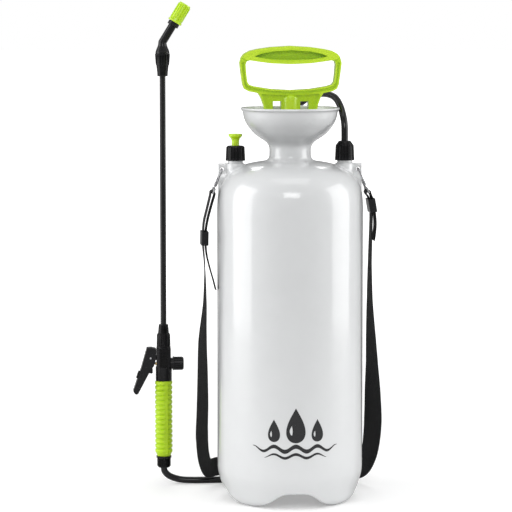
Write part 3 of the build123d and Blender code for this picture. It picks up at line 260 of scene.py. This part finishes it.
def pale_floor():
    """A pale floor that glows, for camera rays only, more with distance from the tank."""
    material, tree, shader = new_material("pale_floor")
    coords = object_coords(tree)
    colour = mix_rgb(tree, noise(tree, coords, scale=3.0), (0.76, 0.76, 0.76), (0.79, 0.79, 0.79))
    camera_ray = add(tree, "LightPath").outputs["Is Camera Ray"]
    distance = add(tree, "VectorMath", {0: coords}, operation="LENGTH").outputs["Value"]
    glow = calc(tree, "MULTIPLY",
                remap(tree, distance, over=(0.5, 2.6), to=(0.30, 0.95)), camera_ray)
    set_shader(tree, shader, {
        "Base Color": colour, "Roughness": 0.7, "Emission Color": (1, 1, 1, 1),
        "Emission Strength": glow})
    return material


LIME = (0.435, 0.675, 0.002)
MATERIALS = {
    "tank": plastic(
        "tank_white_plastic", (0.665, 0.675, 0.68), rough=0.30, vary=0.010, grain=0.012,
        grain_scale=900, coat=0.9, edge=0.3, edge_rgb=(0.8, 0.8, 0.8), flow=0.012,
        uneven=(0.012, 0.02), rim_shade=0.9, seam=0.8, shade=0.75),
    "lime": plastic(
        "lime_green_plastic", LIME, rough=0.27, vary=0.04, grain=0.03, coat=0.25,
        edge=0.45, edge_rgb=(0.66, 0.88, 0.05), uneven=(0.03, 0.05)),
    "lime_grip": plastic(
        "lime_green_grip", LIME, rough=0.36, vary=0.05, grain=0.05, edge=0.3,
        edge_rgb=(0.64, 0.86, 0.05), uneven=(0.04, 0.06)),
    "black": plastic(
        "black_moulded_plastic", (0.004, 0.004, 0.0044), rough=0.24, vary=0.25, grain=0.10,
        edge=0.45, edge_rgb=(0.026, 0.026, 0.028), spec=0.17),
    "black_gloss": plastic(
        "black_wand_plastic", (0.004, 0.004, 0.0045), rough=0.22, vary=0.2, grain=0.04,
        edge=0.3, edge_rgb=(0.02, 0.02, 0.02), coat=0.12, spec=0.25),
    "hose": plastic(
        "black_hose_pvc", (0.004, 0.004, 0.0045), rough=0.16, vary=0.2, grain=0.03,
        edge=0.1, coat=0.25, spec=0.3),
    "rubber": plastic(
        "black_rubber_seal", (0.014, 0.014, 0.014), rough=0.62, vary=0.2, grain=0.3, edge=0.2),
    "white": plastic(
        "white_inner_plastic", (0.74, 0.74, 0.72), rough=0.35, vary=0.03, grain=0.05, edge=0.2),
    "clear": plastic(
        "dip_tube_plastic", (0.62, 0.66, 0.66), rough=0.2, vary=0.03, grain=0.02, edge=0.1,
        coat=0.3),
    "chrome": metal("nickel_plate", (0.33, 0.33, 0.34), rough=0.17),
    "steel": metal("drawn_steel", (0.58, 0.58, 0.60), rough=0.28, brushed=True),
    "brass": metal("turned_brass", (0.78, 0.58, 0.28), rough=0.25, brushed=True),
    "webbing": webbing(),
}

# ------------------------------------------------------------------ CAD pieces
# material: the pieces that wear it
LOOKS = {
    "tank": "tank_shell",
    "lime": "relief_knob pump_handle nozzle_cap",
    "lime_grip": "lance_grip",
    "black": "relief_cap outlet_cap pump_barrel pump_head strap_slider_left strap_slider_right "
             "lance_body hose_nut wand_nut valve_cap trigger trigger_lock tip_nut",
    "black_gloss": "wand_tube wand_elbow",
    "hose": "supply_hose",
    "rubber": "relief_gasket outlet_gasket relief_o_ring pump_seal_ring check_valve piston_cup "
              "wand_seal stem_o_ring tip_seal nozzle_o_ring",
    "white": "relief_seat outlet_spigot dip_filter barrel_foot pump_rod piston",
    "clear": "dip_tube",
    "chrome": "snap_hook_left snap_hook_right strap_ring_left strap_ring_right "
              "hook_gate_left hook_gate_right",
    "steel": "relief_spring handle_pin trigger_pin stem_spring",
    "brass": "piston_nut valve_stem nozzle_core",
    "webbing": "strap_webbing",
}
# bevel width: the pieces whose edges it softens
BEVELS = {
    0.0011: "pump_handle",
    0.0005: "trigger strap_slider_left strap_slider_right lance_grip",
    0.0004: "lance_body relief_knob pump_head trigger_lock",
    0.0003: "relief_cap outlet_cap valve_cap wand_nut tip_nut nozzle_cap hose_nut",
}


def by_piece(groups):
    return {piece: key for key, pieces in groups.items() for piece in pieces.split()}


def dress_pieces():
    looks, bevels = by_piece(LOOKS), by_piece(BEVELS)
    for name, piece in NODES.items():
        material = MATERIALS[looks[name]]
        if piece.material_slots:
            for slot in piece.material_slots:
                slot.material = material
        else:
            piece.data.materials.append(material)
        if name in bevels:
            bevel = piece.modifiers.new("soft_edges", "BEVEL")
            bevel.width = bevels[name]
            bevel.segments = 2
            bevel.limit_method = "ANGLE"
            bevel.angle_limit = math.radians(32)
            bevel.harden_normals = False
            bevel.use_clamp_overlap = True


dress_pieces()


# ------------------------------------------------------------------ mesh helpers
def finish_mesh(name, mesh, material):
    """Turn the bmesh into a smooth-shaded object in the scene."""
    data = bpy.data.meshes.new(name)
    mesh.normal_update()
    mesh.to_mesh(data)
    mesh.free()
    data.shade_smooth()
    thing = bpy.data.objects.new(name, data)
    bpy.context.scene.collection.objects.link(thing)
    data.materials.append(material)
    return thing


def circle(count):
    """Cosine and sine of equal steps round a full turn."""
    angles = [math.tau * i / count for i in range(count)]
    return [(math.cos(angle), math.sin(angle)) for angle in angles]


def quad(mesh, low, high, i):
    """The face between two closed rings, from their vertex i to the next."""
    j = (i + 1) % len(low)
    return mesh.faces.new((low[i], low[j], high[j], high[i]))


def bridge(mesh, rings):
    for low, high in zip(rings[:-1], rings[1:]):
        for i in range(len(low)):
            quad(mesh, low, high, i)


def spline_segments(points, step):
    """Centripetal Catmull-Rom samples, one list per span, about one sample every step."""
    points = [Vector(p) for p in points]
    before = points[0] + (points[0] - points[1])
    after = points[-1] + (points[-1] - points[-2])
    padded = [before, *points, after]
    segments = []
    for p0, p1, p2, p3 in zip(padded, padded[1:], padded[2:], padded[3:]):
        t0 = 0.0
        t1 = t0 + max((p1 - p0).length, 1e-6) ** 0.5
        t2 = t1 + max((p2 - p1).length, 1e-6) ** 0.5
        t3 = t2 + max((p3 - p2).length, 1e-6) ** 0.5
        count = max(2, int((p2 - p1).length / step))
        samples = []
        for k in range(count):
            t = t1 + (t2 - t1) * k / count
            a1 = p0 * ((t1 - t) / (t1 - t0)) + p1 * ((t - t0) / (t1 - t0))
            a2 = p1 * ((t2 - t) / (t2 - t1)) + p2 * ((t - t1) / (t2 - t1))
            a3 = p2 * ((t3 - t) / (t3 - t2)) + p3 * ((t - t2) / (t3 - t2))
            b1 = a1 * ((t2 - t) / (t2 - t0)) + a2 * ((t - t0) / (t2 - t0))
            b2 = a2 * ((t3 - t) / (t3 - t1)) + a3 * ((t - t1) / (t3 - t1))
            samples.append(b1 * ((t2 - t) / (t2 - t1)) + b2 * ((t - t1) / (t2 - t1)))
        segments.append(samples)
    return segments


def spline_points(points, step):
    samples = [p for segment in spline_segments(points, step) for p in segment]
    return samples + [Vector(points[-1])]


def tangents(points):
    last = len(points) - 1
    return [(points[min(i + 1, last)] - points[max(i - 1, 0)]).normalized()
            for i in range(last + 1)]


def interpolate(table, x):
    """Linear interpolation in rows of (x, value) with x rising."""
    for (x0, value0), (x1, value1) in zip(table[:-1], table[1:]):
        if x <= x1:
            return value0 + (value1 - value0) * ((x - x0) / (x1 - x0))


# ------------------------------------------------------------------ tank
# (radius, height) in mm. The base: from its raised middle out over the feet to the wall.
BASE = [
    (0.0001, 22.0), (14, 21.3), (27, 19.4), (39, 16.2), (48, 12.4), (56, 8.4), (62, 4.2),
    (66.5, 1.1), (70.4, 0.05), (73.6, 0.0), (76.6, 0.15), (79.6, 1.4), (82.0, 3.6),
    (83.5, 6.2), (84.4, 8.6), (85.6, 13.4), (87.6, 20.6), (90.3, 29.6), (91.9, 37.0),
    (92.5, 44.5)]
# The shoulder, from the wall's top in to the neck.
SHOULDER = [
    (92.5, 372.0), (91.9, 384.6), (90.4, 394.4), (87.6, 402.4), (82.0, 411.5), (74.5, 418.4),
    (66.0, 423.4), (57.4, 426.8), (46.0, 429.5), (35.0, 431.3)]
# The neck, the funnel's outside, its lip, its inside and the bore.
FUNNEL = [
    (30.6, 432.4), (27.9, 434.2), (26.5, 437.2), (26.3, 440.5), (26.3, 447.0), (26.9, 450.0),
    (28.6, 453.3), (31.6, 456.4), (38.6, 461.0), (44.3, 465.2), (50.0, 471.2), (55.9, 479.6),
    (58.6, 486.4), (59.6, 491.2), (60.2, 494.2), (61.0, 495.5), (62.0, 496.3), (62.5, 497.3),
    (62.3, 498.4), (61.5, 499.0), (60.2, 499.0), (59.0, 498.7), (58.2, 497.9), (57.9, 495.5),
    (57.2, 488.6), (53.8, 480.6), (48.2, 473.0), (42.6, 467.0), (37.4, 463.3), (32.6, 460.2),
    (30.0, 457.4), (29.0, 456.1), (23.9, 456.0), (23.8, 455.2), (23.8, 437.0)]
# The channels that cross under the base and part its four feet:
# (minus the distance from the channel's middle, height) in mm.
CHANNEL = [
    (-60, -9.0), (-47.5, -0.6), (-43, 0.9), (-37, 4.2), (-30, 9.6), (-23, 15.2), (-17, 18.6),
    (-11, 19.8), (0, 20.0)]
CHANNEL_SLOPE = 0.9                  # beyond the table's outer end
CHANNEL_FADE = 0.012                 # height below the wall's foot over which channels fade
WALL_ROWS = 40
TANK_SIDES = 256

BOSS_X, BOSS_R, BOSS_TOP = 0.0694, 0.0114, 0.4287
BOSS_FILLET = 0.0032
BOSS_SIDES = 72
# (radius, height) of the rings above the fillet: rounded rim, step, collar, collar's top
BOSS_RINGS = [
    (BOSS_R, BOSS_TOP - 0.0008), (BOSS_R - 0.00022, BOSS_TOP - 0.00022),
    (BOSS_R - 0.0008, BOSS_TOP), (0.0098, BOSS_TOP), (0.0094, BOSS_TOP + 0.0003),
    (0.0094, 0.4328), (0.0066, 0.4330)]

WEB_OUTER_X, WEB_INNER_X, WEB_FOOT = 0.0912, 0.0745, 0.392
WEB_HALF = 0.00175                   # half its thickness
WEB_CHAMFER = 0.0006
EYE_R, EYE_CHAMFER = 0.0026, 0.0005
EYE_SIDES = 28


def profile(points, step):
    samples = spline_points([(r / 1000.0, 0, z / 1000.0) for r, z in points], step)
    return [(p.x, p.z) for p in samples]


SHOULDER_RISING = profile(SHOULDER, step=0.0008)[::-1]


def channel_height(offset):
    offset = -abs(offset) * 1000.0
    end, end_height = CHANNEL[0]
    if offset <= end:
        return (end_height + (offset - end) * CHANNEL_SLOPE) / 1000.0
    return interpolate(CHANNEL, offset) / 1000.0


def smooth_max(first, second, blend):
    overlap = max(blend - abs(first - second), 0.0) / blend
    return max(first, second) + overlap * overlap * blend * 0.25


def base_height(x, y, z):
    """Raise the turned base into the crossed channels, fading out below the wall."""
    channels = smooth_max(channel_height(x), channel_height(y), blend=0.004)
    raised = smooth_max(z, channels, blend=0.0055)
    share = max(0.0, min(1.0, (WALL_FOOT - z) / CHANNEL_FADE))
    return z + (raised - z) * share


def add_turned_body(mesh):
    wall = [(TANK_R, WALL_FOOT + (WALL_TOP - WALL_FOOT) * i / WALL_ROWS)
            for i in range(1, WALL_ROWS)]
    outline = profile(BASE, step=0.0016) + wall + profile(SHOULDER + FUNNEL, step=0.0016)
    rings = []
    for r, z in outline:
        in_base = z < 0.06 and r > 0.0005    # the centre ring keeps its height
        ring = []
        for cos, sin in circle(TANK_SIDES):
            x, y = r * cos, r * sin
            ring.append(mesh.verts.new((x, y, base_height(x, y, z) if in_base else z)))
        rings.append(ring)
    bridge(mesh, rings)
    mesh.faces.new(list(reversed(rings[0])))


def add_boss(mesh, side):
    """A boss whose fillet follows the fall of the shoulder."""
    def ring(radius, height_at):
        verts = []
        for cos, sin in circle(BOSS_SIDES):
            x, y = side * BOSS_X + radius * cos, radius * sin
            verts.append(mesh.verts.new((x, y, height_at(x, y))))
        return verts

    rings = []
    for degrees in (0, 12, 25, 38, 51, 64, 77, 90):
        angle = math.radians(degrees)
        rise = BOSS_FILLET * (1 - math.cos(angle))

        def fillet_height(x, y):
            sunk = interpolate(SHOULDER_RISING, math.hypot(x, y)) - 0.00025
            return min(sunk + rise, BOSS_TOP - 0.0009)

        rings.append(ring(BOSS_R + BOSS_FILLET * (1 - math.sin(angle)), fillet_height))
    for radius, height in BOSS_RINGS:
        rings.append(ring(radius, lambda x, y: height))
    bridge(mesh, rings)


def add_web(mesh, side):
    """The flat web outside a boss, with the strap's eye through it along Y."""
    outward, inward = WEB_OUTER_X - EYE_X, EYE_X - WEB_INNER_X
    above, below = BOSS_TOP - EYE_Z, EYE_Z - WEB_FOOT
    eye_x = side * EYE_X

    def reach(dx, dz):
        """Distance from the eye to the web's outline."""
        limits = ((outward, dx * side), (inward, -dx * side), (above, dz), (below, -dz))
        return min(limit / part for limit, part in limits if part > 1e-9)

    corners = [math.atan2(dz, dx) for dz in (above, -below)
               for dx in (side * outward, -side * inward)]
    even = [math.tau * i / EYE_SIDES - math.pi for i in range(EYE_SIDES)]
    angles = sorted({round(angle, 6) for angle in even + corners})
    faces = []
    for front_back in (-1, 1):
        y = front_back * WEB_HALF
        rings = ([], [], [], [])             # eye, eye's chamfer, edge's chamfer, edge
        for angle in angles:
            dx, dz = math.cos(angle), math.sin(angle)
            edge = reach(dx, dz)
            spots = ((EYE_R, y - front_back * EYE_CHAMFER), (EYE_R + EYE_CHAMFER, y),
                     (edge - WEB_CHAMFER, y), (edge, y - front_back * WEB_CHAMFER))
            for ring, (radius, depth) in zip(rings, spots):
                ring.append(mesh.verts.new((eye_x + dx * radius, depth, EYE_Z + dz * radius)))
        faces.append(rings)
    front, back = faces
    count = len(angles)
    for i in range(count):
        for inner, outer in zip(front[:-1], front[1:]):
            quad(mesh, inner, outer, i)
    for i in range(count):
        for inner, outer in zip(back[:-1], back[1:]):
            quad(mesh, outer, inner, i)
    for i in range(count):
        j = (i + 1) % count
        quad(mesh, front[3], back[3], i)
        mesh.faces.new((front[0][j], front[0][i], back[0][i], back[0][j]))


def build_tank():
    mesh = bmesh.new()
    add_turned_body(mesh)
    for side in SIDES:
        add_boss(mesh, side)
    for side in SIDES:
        add_web(mesh, side)
    bmesh.ops.recalc_face_normals(mesh, faces=mesh.faces)
    tank = finish_mesh("tank_moulding", mesh, MATERIALS["tank"])
    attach(tank, "tank")
    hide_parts("tank_shell")
    tank.data.set_sharp_from_angle(angle=math.radians(50))


build_tank()

# ------------------------------------------------------------------ hose
HOSE_R = 0.0043
HOSE_SIDES = 32
# centre line (x, y, z) in mm: up from the right boss, over to the back, down behind the tank,
# along the floor to the left and up into the lance
HOSE_PATH = [
    (69.4, 0, 449.0), (69.4, 0, 458.0), (69.4, 0, 466), (69.2, 1.6, 478), (67.9, 7.1, 489),
    (65.6, 17.0, 500), (60.6, 29.9, 510.0), (52.6, 43.2, 514.0), (42.6, 57.0, 513.6),
    (30.6, 70.8, 508.2), (18.5, 82.0, 498.0), (8.6, 90.2, 482), (1.4, 95.9, 460),
    (-2.8, 99.1, 434), (-5.1, 100.9, 407), (-6, 101.5, 380), (-6, 101.5, 300),
    (-6, 101.5, 200), (-6, 101.5, 110), (-6, 101.5, 60), (-7.6, 101.6, 38),
    (-14.5, 101.8, 18.5), (-28, 102, 7.4), (-46, 102, 4.35), (-80, 102, 4.35),
    (-118, 102, 4.35), (-136, 102, 5.9), (-149.4, 102, 10.8), (-155.2, 102, 17.0),
    (-156, 102, 22.2), (-156, 102, 29.2)]


def build_hose():
    path = spline_points([(x / 1000, y / 1000, z / 1000) for x, y, z in HOSE_PATH], step=0.003)
    path = [Vector((p.x, p.y, max(p.z, HOSE_R))) for p in path]     # kept above the floor
    directions = tangents(path)
    normal = directions[0].orthogonal().normalized()
    mesh = bmesh.new()
    rings = []
    for centre, along in zip(path, directions):
        normal = (normal - along * normal.dot(along)).normalized()
        across = along.cross(normal)
        rings.append([mesh.verts.new(centre + normal * (HOSE_R * cos) + across * (HOSE_R * sin))
                      for cos, sin in circle(HOSE_SIDES)])
    bridge(mesh, rings)
    mesh.faces.new(list(reversed(rings[0])))
    mesh.faces.new(rings[-1])
    hose = finish_mesh("supply_hose_tube", mesh, MATERIALS["hose"])
    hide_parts("supply_hose")
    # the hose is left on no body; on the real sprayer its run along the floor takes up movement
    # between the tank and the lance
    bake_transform(hose)


build_hose()

# ------------------------------------------------------------------ strap
BAND_HALF = 0.0125                   # half its width
BAND_THICK = 0.00075                 # half its thickness
BAND_COLUMNS = 12
HOOK_SLOPE = (0.38, -0.925)          # outward and upward, per mm along the hook from the eye
RING_DISTANCE = 31.8                 # mm from the eye to the strap ring's bar
ACROSS = (0, 1, 0)
# mm from the ring's bar, inward and upward: the band's turn over the bar
RING_TURN = [(2.45, 0.8), (1.4, 2.15), (0, 2.6), (-1.4, 2.15), (-2.45, 0.8)]


def ring_stations(side, entry, leave):
    bar_x = side * (EYE_X * 1000 + HOOK_SLOPE[0] * RING_DISTANCE)
    bar_z = EYE_Z * 1000 + HOOK_SLOPE[1] * RING_DISTANCE
    return [((bar_x - side * inward, 0, bar_z + up), ACROSS)
            for inward, up in (entry, *RING_TURN, leave)]


# The band's centre line, (x, y, z) in mm, with the direction of its width at each station.
# It starts at the left tail, turns over the left ring, hangs to the floor, passes behind the
# tank and climbs to the right ring and tail.
STATIONS = [
    *(((x, 0, z), ACROSS) for x, z in (
        (-94.9, 269.0), (-97.6, 280), (-102.4, 297), (-106.1, 313), (-107.4, 326),
        (-107.25, 343), (-104.6, 359), (-99.0, 380))),
    *ring_stations(-1, entry=(2.6, -1.8), leave=(-2.7, -1.8)),
    ((-105.6, 0, 372), ACROSS), ((-109.6, 0, 355), ACROSS), ((-110.55, 0, 343), ACROSS),
    ((-110.7, 0, 326), ACROSS), ((-109.6, 0.4, 312), (0.02, 1, 0)),
    ((-108.4, 3, 296), (0.06, 1, 0)), ((-108.0, 8, 254), (0.2, 0.98, 0)),
    ((-110.3, 18, 204), (0.45, 0.89, 0)), ((-109.4, 32, 154), (0.55, 0.83, 0)),
    ((-108.8, 45, 110), (0.62, 0.78, 0)), ((-108.8, 57, 73), (0.66, 0.74, 0.1)),
    ((-105.0, 72, 38), (0.5, 0.55, 0.6)), ((-98.5, 85.0, 23.5), (0.2, 0.2, 0.95)),
    ((-88, 98.0, 22.6), (0.05, 0.05, 1)), ((-76, 108.0, 22.0), (0, 0, 1)),
    ((-58, 112.4, 19.5), (0, 0, 1)), ((-30, 113, 17), (0, 0, 1)), ((0, 113, 16), (0, 0, 1)),
    ((34, 113, 15.6), (0, 0, 1)), ((64, 111, 15.6), (0, 0, 1)),
    ((84, 103, 15.8), (0, 0.05, 1)), ((97, 90.5, 17.0), (-0.15, 0.15, 1)),
    ((105.0, 76, 25.0), (-0.4, 0.45, 0.8)), ((110.4, 62, 44), (-0.7, 0.6, 0.35)),
    ((112.4, 51, 66), (-0.8, 0.6, 0.1)), ((112.6, 41, 93), (-0.84, 0.54, 0)),
    ((110.6, 30, 134), (-0.7, 0.71, 0)), ((108.6, 22, 168), (-0.5, 0.87, 0)),
    ((106.0, 14, 204), (-0.36, 0.93, 0)), ((103.2, 6, 253), (-0.14, 0.99, 0)),
    ((102.4, 1.4, 302), (-0.03, 1, 0)), ((103.2, 0, 345), ACROSS), ((103.3, 0, 366.0), ACROSS),
    ((100.3, 0, 384.2), ACROSS),
    *ring_stations(1, entry=(2.75, -1.5), leave=(-3.0, -1.6)),
    *(((x, 0, z), ACROSS) for x, z in (
        (104.0, 384.6), (107.2, 367.4), (108.6, 352), (107.6, 338), (106.4, 330))),
]


def band_section():
    """(across, through, v) round the band: slightly crowned, with rounded edges."""
    top = []
    for k in range(BAND_COLUMNS + 1):
        v = -1 + 2 * k / BAND_COLUMNS
        top.append((v * (BAND_HALF - 0.0004), BAND_THICK * (1.0 - 0.12 * v * v), (v + 1) / 2))
    bottom = [(across, -through, v) for across, through, v in reversed(top)]
    edge = BAND_THICK * 0.35
    return (top + [(BAND_HALF, edge, 1.0), (BAND_HALF, -edge, 1.0)]
            + bottom + [(-BAND_HALF, -edge, 0.0), (-BAND_HALF, edge, 0.0)])


def build_band():
    points = [Vector(point) / 1000.0 for point, _ in STATIONS]
    directions = [Vector(direction) for _, direction in STATIONS]
    centres, widths = [], []
    for i, samples in enumerate(spline_segments(points, step=0.0022)):
        centres += samples
        widths += [directions[i].lerp(directions[i + 1], k / len(samples))
                   for k in range(len(samples))]
    centres.append(points[-1])
    widths.append(directions[-1])

    mesh = bmesh.new()
    uv_layer = mesh.loops.layers.uv.new("band")
    section = band_section()
    rows, lengths = [], []
    length, previous = 0.0, centres[0]
    for centre, along, width in zip(centres, tangents(centres), widths):
        width = width - along * width.dot(along)
        width.normalize()
        normal = along.cross(width)
        length += (centre - previous).length
        previous = centre
        lengths.append(length)
        rows.append([mesh.verts.new(centre + width * across + normal * through)
                     for across, through, _ in section])
    for i in range(len(rows) - 1):
        u0, u1 = lengths[i], lengths[i + 1]
        for k in range(len(section)):
            v0, v1 = section[k][2], section[(k + 1) % len(section)][2]
            face = quad(mesh, rows[i], rows[i + 1], k)
            for corner, uv in zip(face.loops, ((u0, v0), (u0, v1), (u1, v1), (u1, v0))):
                corner[uv_layer].uv = uv
    mesh.faces.new(list(reversed(rows[0])))
    mesh.faces.new(rows[-1])
    bmesh.ops.recalc_face_normals(mesh, faces=mesh.faces)
    band = finish_mesh("strap_band", mesh, MATERIALS["webbing"])
    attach(band, "strap")
    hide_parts("strap_webbing")
    band.data.set_sharp_from_angle(angle=math.radians(60))


build_band()

# ------------------------------------------------------------------ printed mark
# three water drops over two waves, on the front of the tank
MARK_R = TANK_R + 0.00012            # just clear of the wall
MARK_ANGLE = -math.pi / 2 + math.radians(-1.0)
MARK_Z = 0.098
WAVE_LENGTH = 0.0275
# (offset, height of middle, radius, height)
DROPS = [
    (0.0, MARK_Z + 0.010, 0.0165, 0.044),
    (-WAVE_LENGTH, MARK_Z + 0.0035, 0.0105, 0.0285),
    (WAVE_LENGTH, MARK_Z + 0.0035, 0.0105, 0.0285)]
# (height, half width, thickness, amplitude)
WAVES = [
    (MARK_Z - 0.0195, 0.056, 0.0052, 0.0032),
    (MARK_Z - 0.0285, 0.040, 0.0034, 0.0024)]


def wall_vert(mesh, offset, z):
    """A vertex on the tank's wall, offset metres round from the mark's centre line."""
    angle = MARK_ANGLE + offset / TANK_R
    return mesh.verts.new((MARK_R * math.cos(angle), MARK_R * math.sin(angle), z))


def add_sheet(mesh, spans, columns=10):
    """Join (height, left, right) spans into a sheet that follows the wall."""
    previous = None
    for z, left, right in spans:
        row = [wall_vert(mesh, left + (right - left) * i / columns, z)
               for i in range(columns + 1)]
        if previous:
            for i in range(columns):
                mesh.faces.new((previous[i], previous[i + 1], row[i + 1], row[i]))
        previous = row


def add_drop(mesh, middle, middle_z, radius, height, steps=48):
    """A drop with a lens-shaped highlight left open at its lower left."""
    outline = []
    for i in range(steps + 1):
        t = 0.02 + (math.pi - 0.04) * i / steps
        half = radius * math.sin(t) * (math.sin(t / 2) ** 1.25)
        outline.append((middle_z + 0.5 * height * math.cos(t), half))
    low, high = middle_z - 0.30 * height, middle_z - 0.02 * height
    overlap = 0.03 * height

    def highlight(z):
        share = (z - low) / (high - low)
        centre = middle - 0.36 * radius + 0.20 * radius * (share - 0.5) ** 2
        half = 0.11 * radius * 4 * max(0.0, share * (1 - share))
        return centre - half, centre + half

    beside = [(z, half) for z, half in outline if low <= z <= high + overlap]
    add_sheet(mesh, [(z, middle - half, middle + half) for z, half in outline if z >= high])
    add_sheet(mesh, [(z, middle - half, highlight(z)[0]) for z, half in beside])
    add_sheet(mesh, [(z, highlight(z)[1], middle + half) for z, half in beside])
    add_sheet(mesh, [(z, middle - half, middle + half) for z, half in outline
                     if z <= low + overlap])


def add_wave(mesh, height, half_width, thickness, amplitude, steps=96):
    """A wave that thins to its ends."""
    previous = None
    for i in range(steps + 1):
        share = -1 + 2 * i / steps
        x = half_width * share
        z = height + amplitude * math.cos(math.tau * x / WAVE_LENGTH)
        half = thickness * 0.5 * (1 - abs(share) ** 2.4) ** 0.8 + 0.00012
        row = [wall_vert(mesh, x, z + half * j) for j in (-1, 0, 1)]
        if previous:
            for j in range(2):
                mesh.faces.new((previous[j], row[j], row[j + 1], previous[j + 1]))
        previous = row


def build_mark():
    mesh = bmesh.new()
    for drop in DROPS:
        add_drop(mesh, *drop)
    for wave in WAVES:
        add_wave(mesh, *wave)
    bmesh.ops.recalc_face_normals(mesh, faces=mesh.faces)
    mark = finish_mesh("printed_drop_mark", mesh, printed_ink())
    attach(mark, "tank")


build_mark()

# ------------------------------------------------------------------ stage
scene = bpy.context.scene
scene.view_settings.view_transform = "Standard"
scene.view_settings.look = "None"
scene.view_settings.exposure = 0.0


def build_floor():
    """A wide round sheet, finer towards the middle."""
    mesh = bmesh.new()
    centre = mesh.verts.new((0, 0, 0))
    previous = None
    for radius in (0.4, 1.0, 2.0, 4.0, 8.0, 16.0, 30.0):
        ring = [mesh.verts.new((radius * cos, radius * sin, 0)) for cos, sin in circle(64)]
        for i in range(64):
            j = (i + 1) % 64
            if previous:
                mesh.faces.new((previous[i], ring[i], ring[j], previous[j]))
            else:
                mesh.faces.new((centre, ring[i], ring[j]))
        previous = ring
    finish_mesh("floor_sheet", mesh, pale_floor())


def build_world():
    """A soft room, brighter at the two sides and above, dimmer behind; the camera sees white."""
    world = bpy.data.worlds.new("studio")
    scene.world = world
    world.use_nodes = True
    tree = world.node_tree
    tree.nodes.clear()
    output = add(tree, "OutputWorld")
    background = add(tree, "Background", {"Color": (1, 1, 1, 1)})
    place = split(tree, add(tree, "TexCoord").outputs["Generated"])
    sides = remap(tree, calc(tree, "ABSOLUTE", place["X"]), over=(0.15, 0.95))
    back = remap(tree, place["Y"], over=(-0.05, 0.55), to=(1.0, 0.55))
    top = remap(tree, place["Z"], over=(0.25, 1.0), to=(0.0, 0.32))
    side_gain, ambient = 0.42, 0.25
    around = calc(tree, "MULTIPLY_ADD", calc(tree, "MULTIPLY", sides, back), side_gain, ambient)
    total = calc(tree, "ADD", around, top)
    camera_ray = add(tree, "LightPath").outputs["Is Camera Ray"]
    seen = add(tree, "Mix", data_type="FLOAT")
    set_shader(tree, seen, {0: camera_ray, 2: total, 3: 1.0})
    tree.links.new(seen.outputs[0], background.inputs["Strength"])
    tree.links.new(background.outputs[0], output.inputs[0])


def area_light(name, at, aim, size, power):
    light = bpy.data.lights.new(name, "AREA")
    light.shape = "RECTANGLE"
    light.size, light.size_y = size
    light.energy = power
    light.spread = math.radians(160)
    lamp = bpy.data.objects.new(name, light)
    scene.collection.objects.link(lamp)
    lamp.location = at
    lamp.rotation_euler = (Vector(aim) - Vector(at)).to_track_quat("-Z", "Y").to_euler()
    return lamp


def build_lights():
    area_light("softbox_left", at=(-1.60, -0.12, 0.62), aim=(0, 0, 0.3),
               size=(1.15, 1.7), power=14.5)
    area_light("softbox_right", at=(1.60, -0.25, 0.62), aim=(0, 0, 0.3),
               size=(1.10, 1.7), power=12.5)
    area_light("softbox_top", at=(0.0, -0.5, 2.1), aim=(0, 0, 0.3), size=(1.3, 1.0), power=4.0)
    area_light("softbox_front", at=(-0.12, -2.25, 1.36), aim=(0, 0, 0.4),
               size=(1.05, 0.66), power=9.0)
    area_light("softbox_back", at=(0.1, 2.6, 2.3), aim=(0, 0.4, 0.2), size=(1.6, 0.7), power=9.0)
    low = area_light("fill_low", at=(0.0, -0.21, 0.012), aim=(0, -0.09, 0.012),
                     size=(0.5, 0.02), power=0.047)
    low.visible_camera = False
    low.visible_glossy = False


def build_camera():
    """A long lens in front of the tank, a little to the left and above."""
    lens = bpy.data.cameras.new("camera")
    camera = bpy.data.objects.new("camera", lens)
    scene.collection.objects.link(camera)
    lens.sensor_width = 36.0
    lens.lens = 175.3
    lens.clip_end = 80
    distance, elevation, azimuth = 3.166, math.radians(5.8), math.radians(-5.0)
    target = Vector((-0.0430, 0.0038, 0.3105))
    camera.location = target + Vector((
        distance * math.cos(elevation) * math.sin(azimuth),
        -distance * math.cos(elevation) * math.cos(azimuth),
        distance * math.sin(elevation)))
    camera.rotation_euler = (target - camera.location).to_track_quat("-Z", "Y").to_euler()
    scene.camera = camera


build_floor()
build_world()
build_lights()
build_camera()
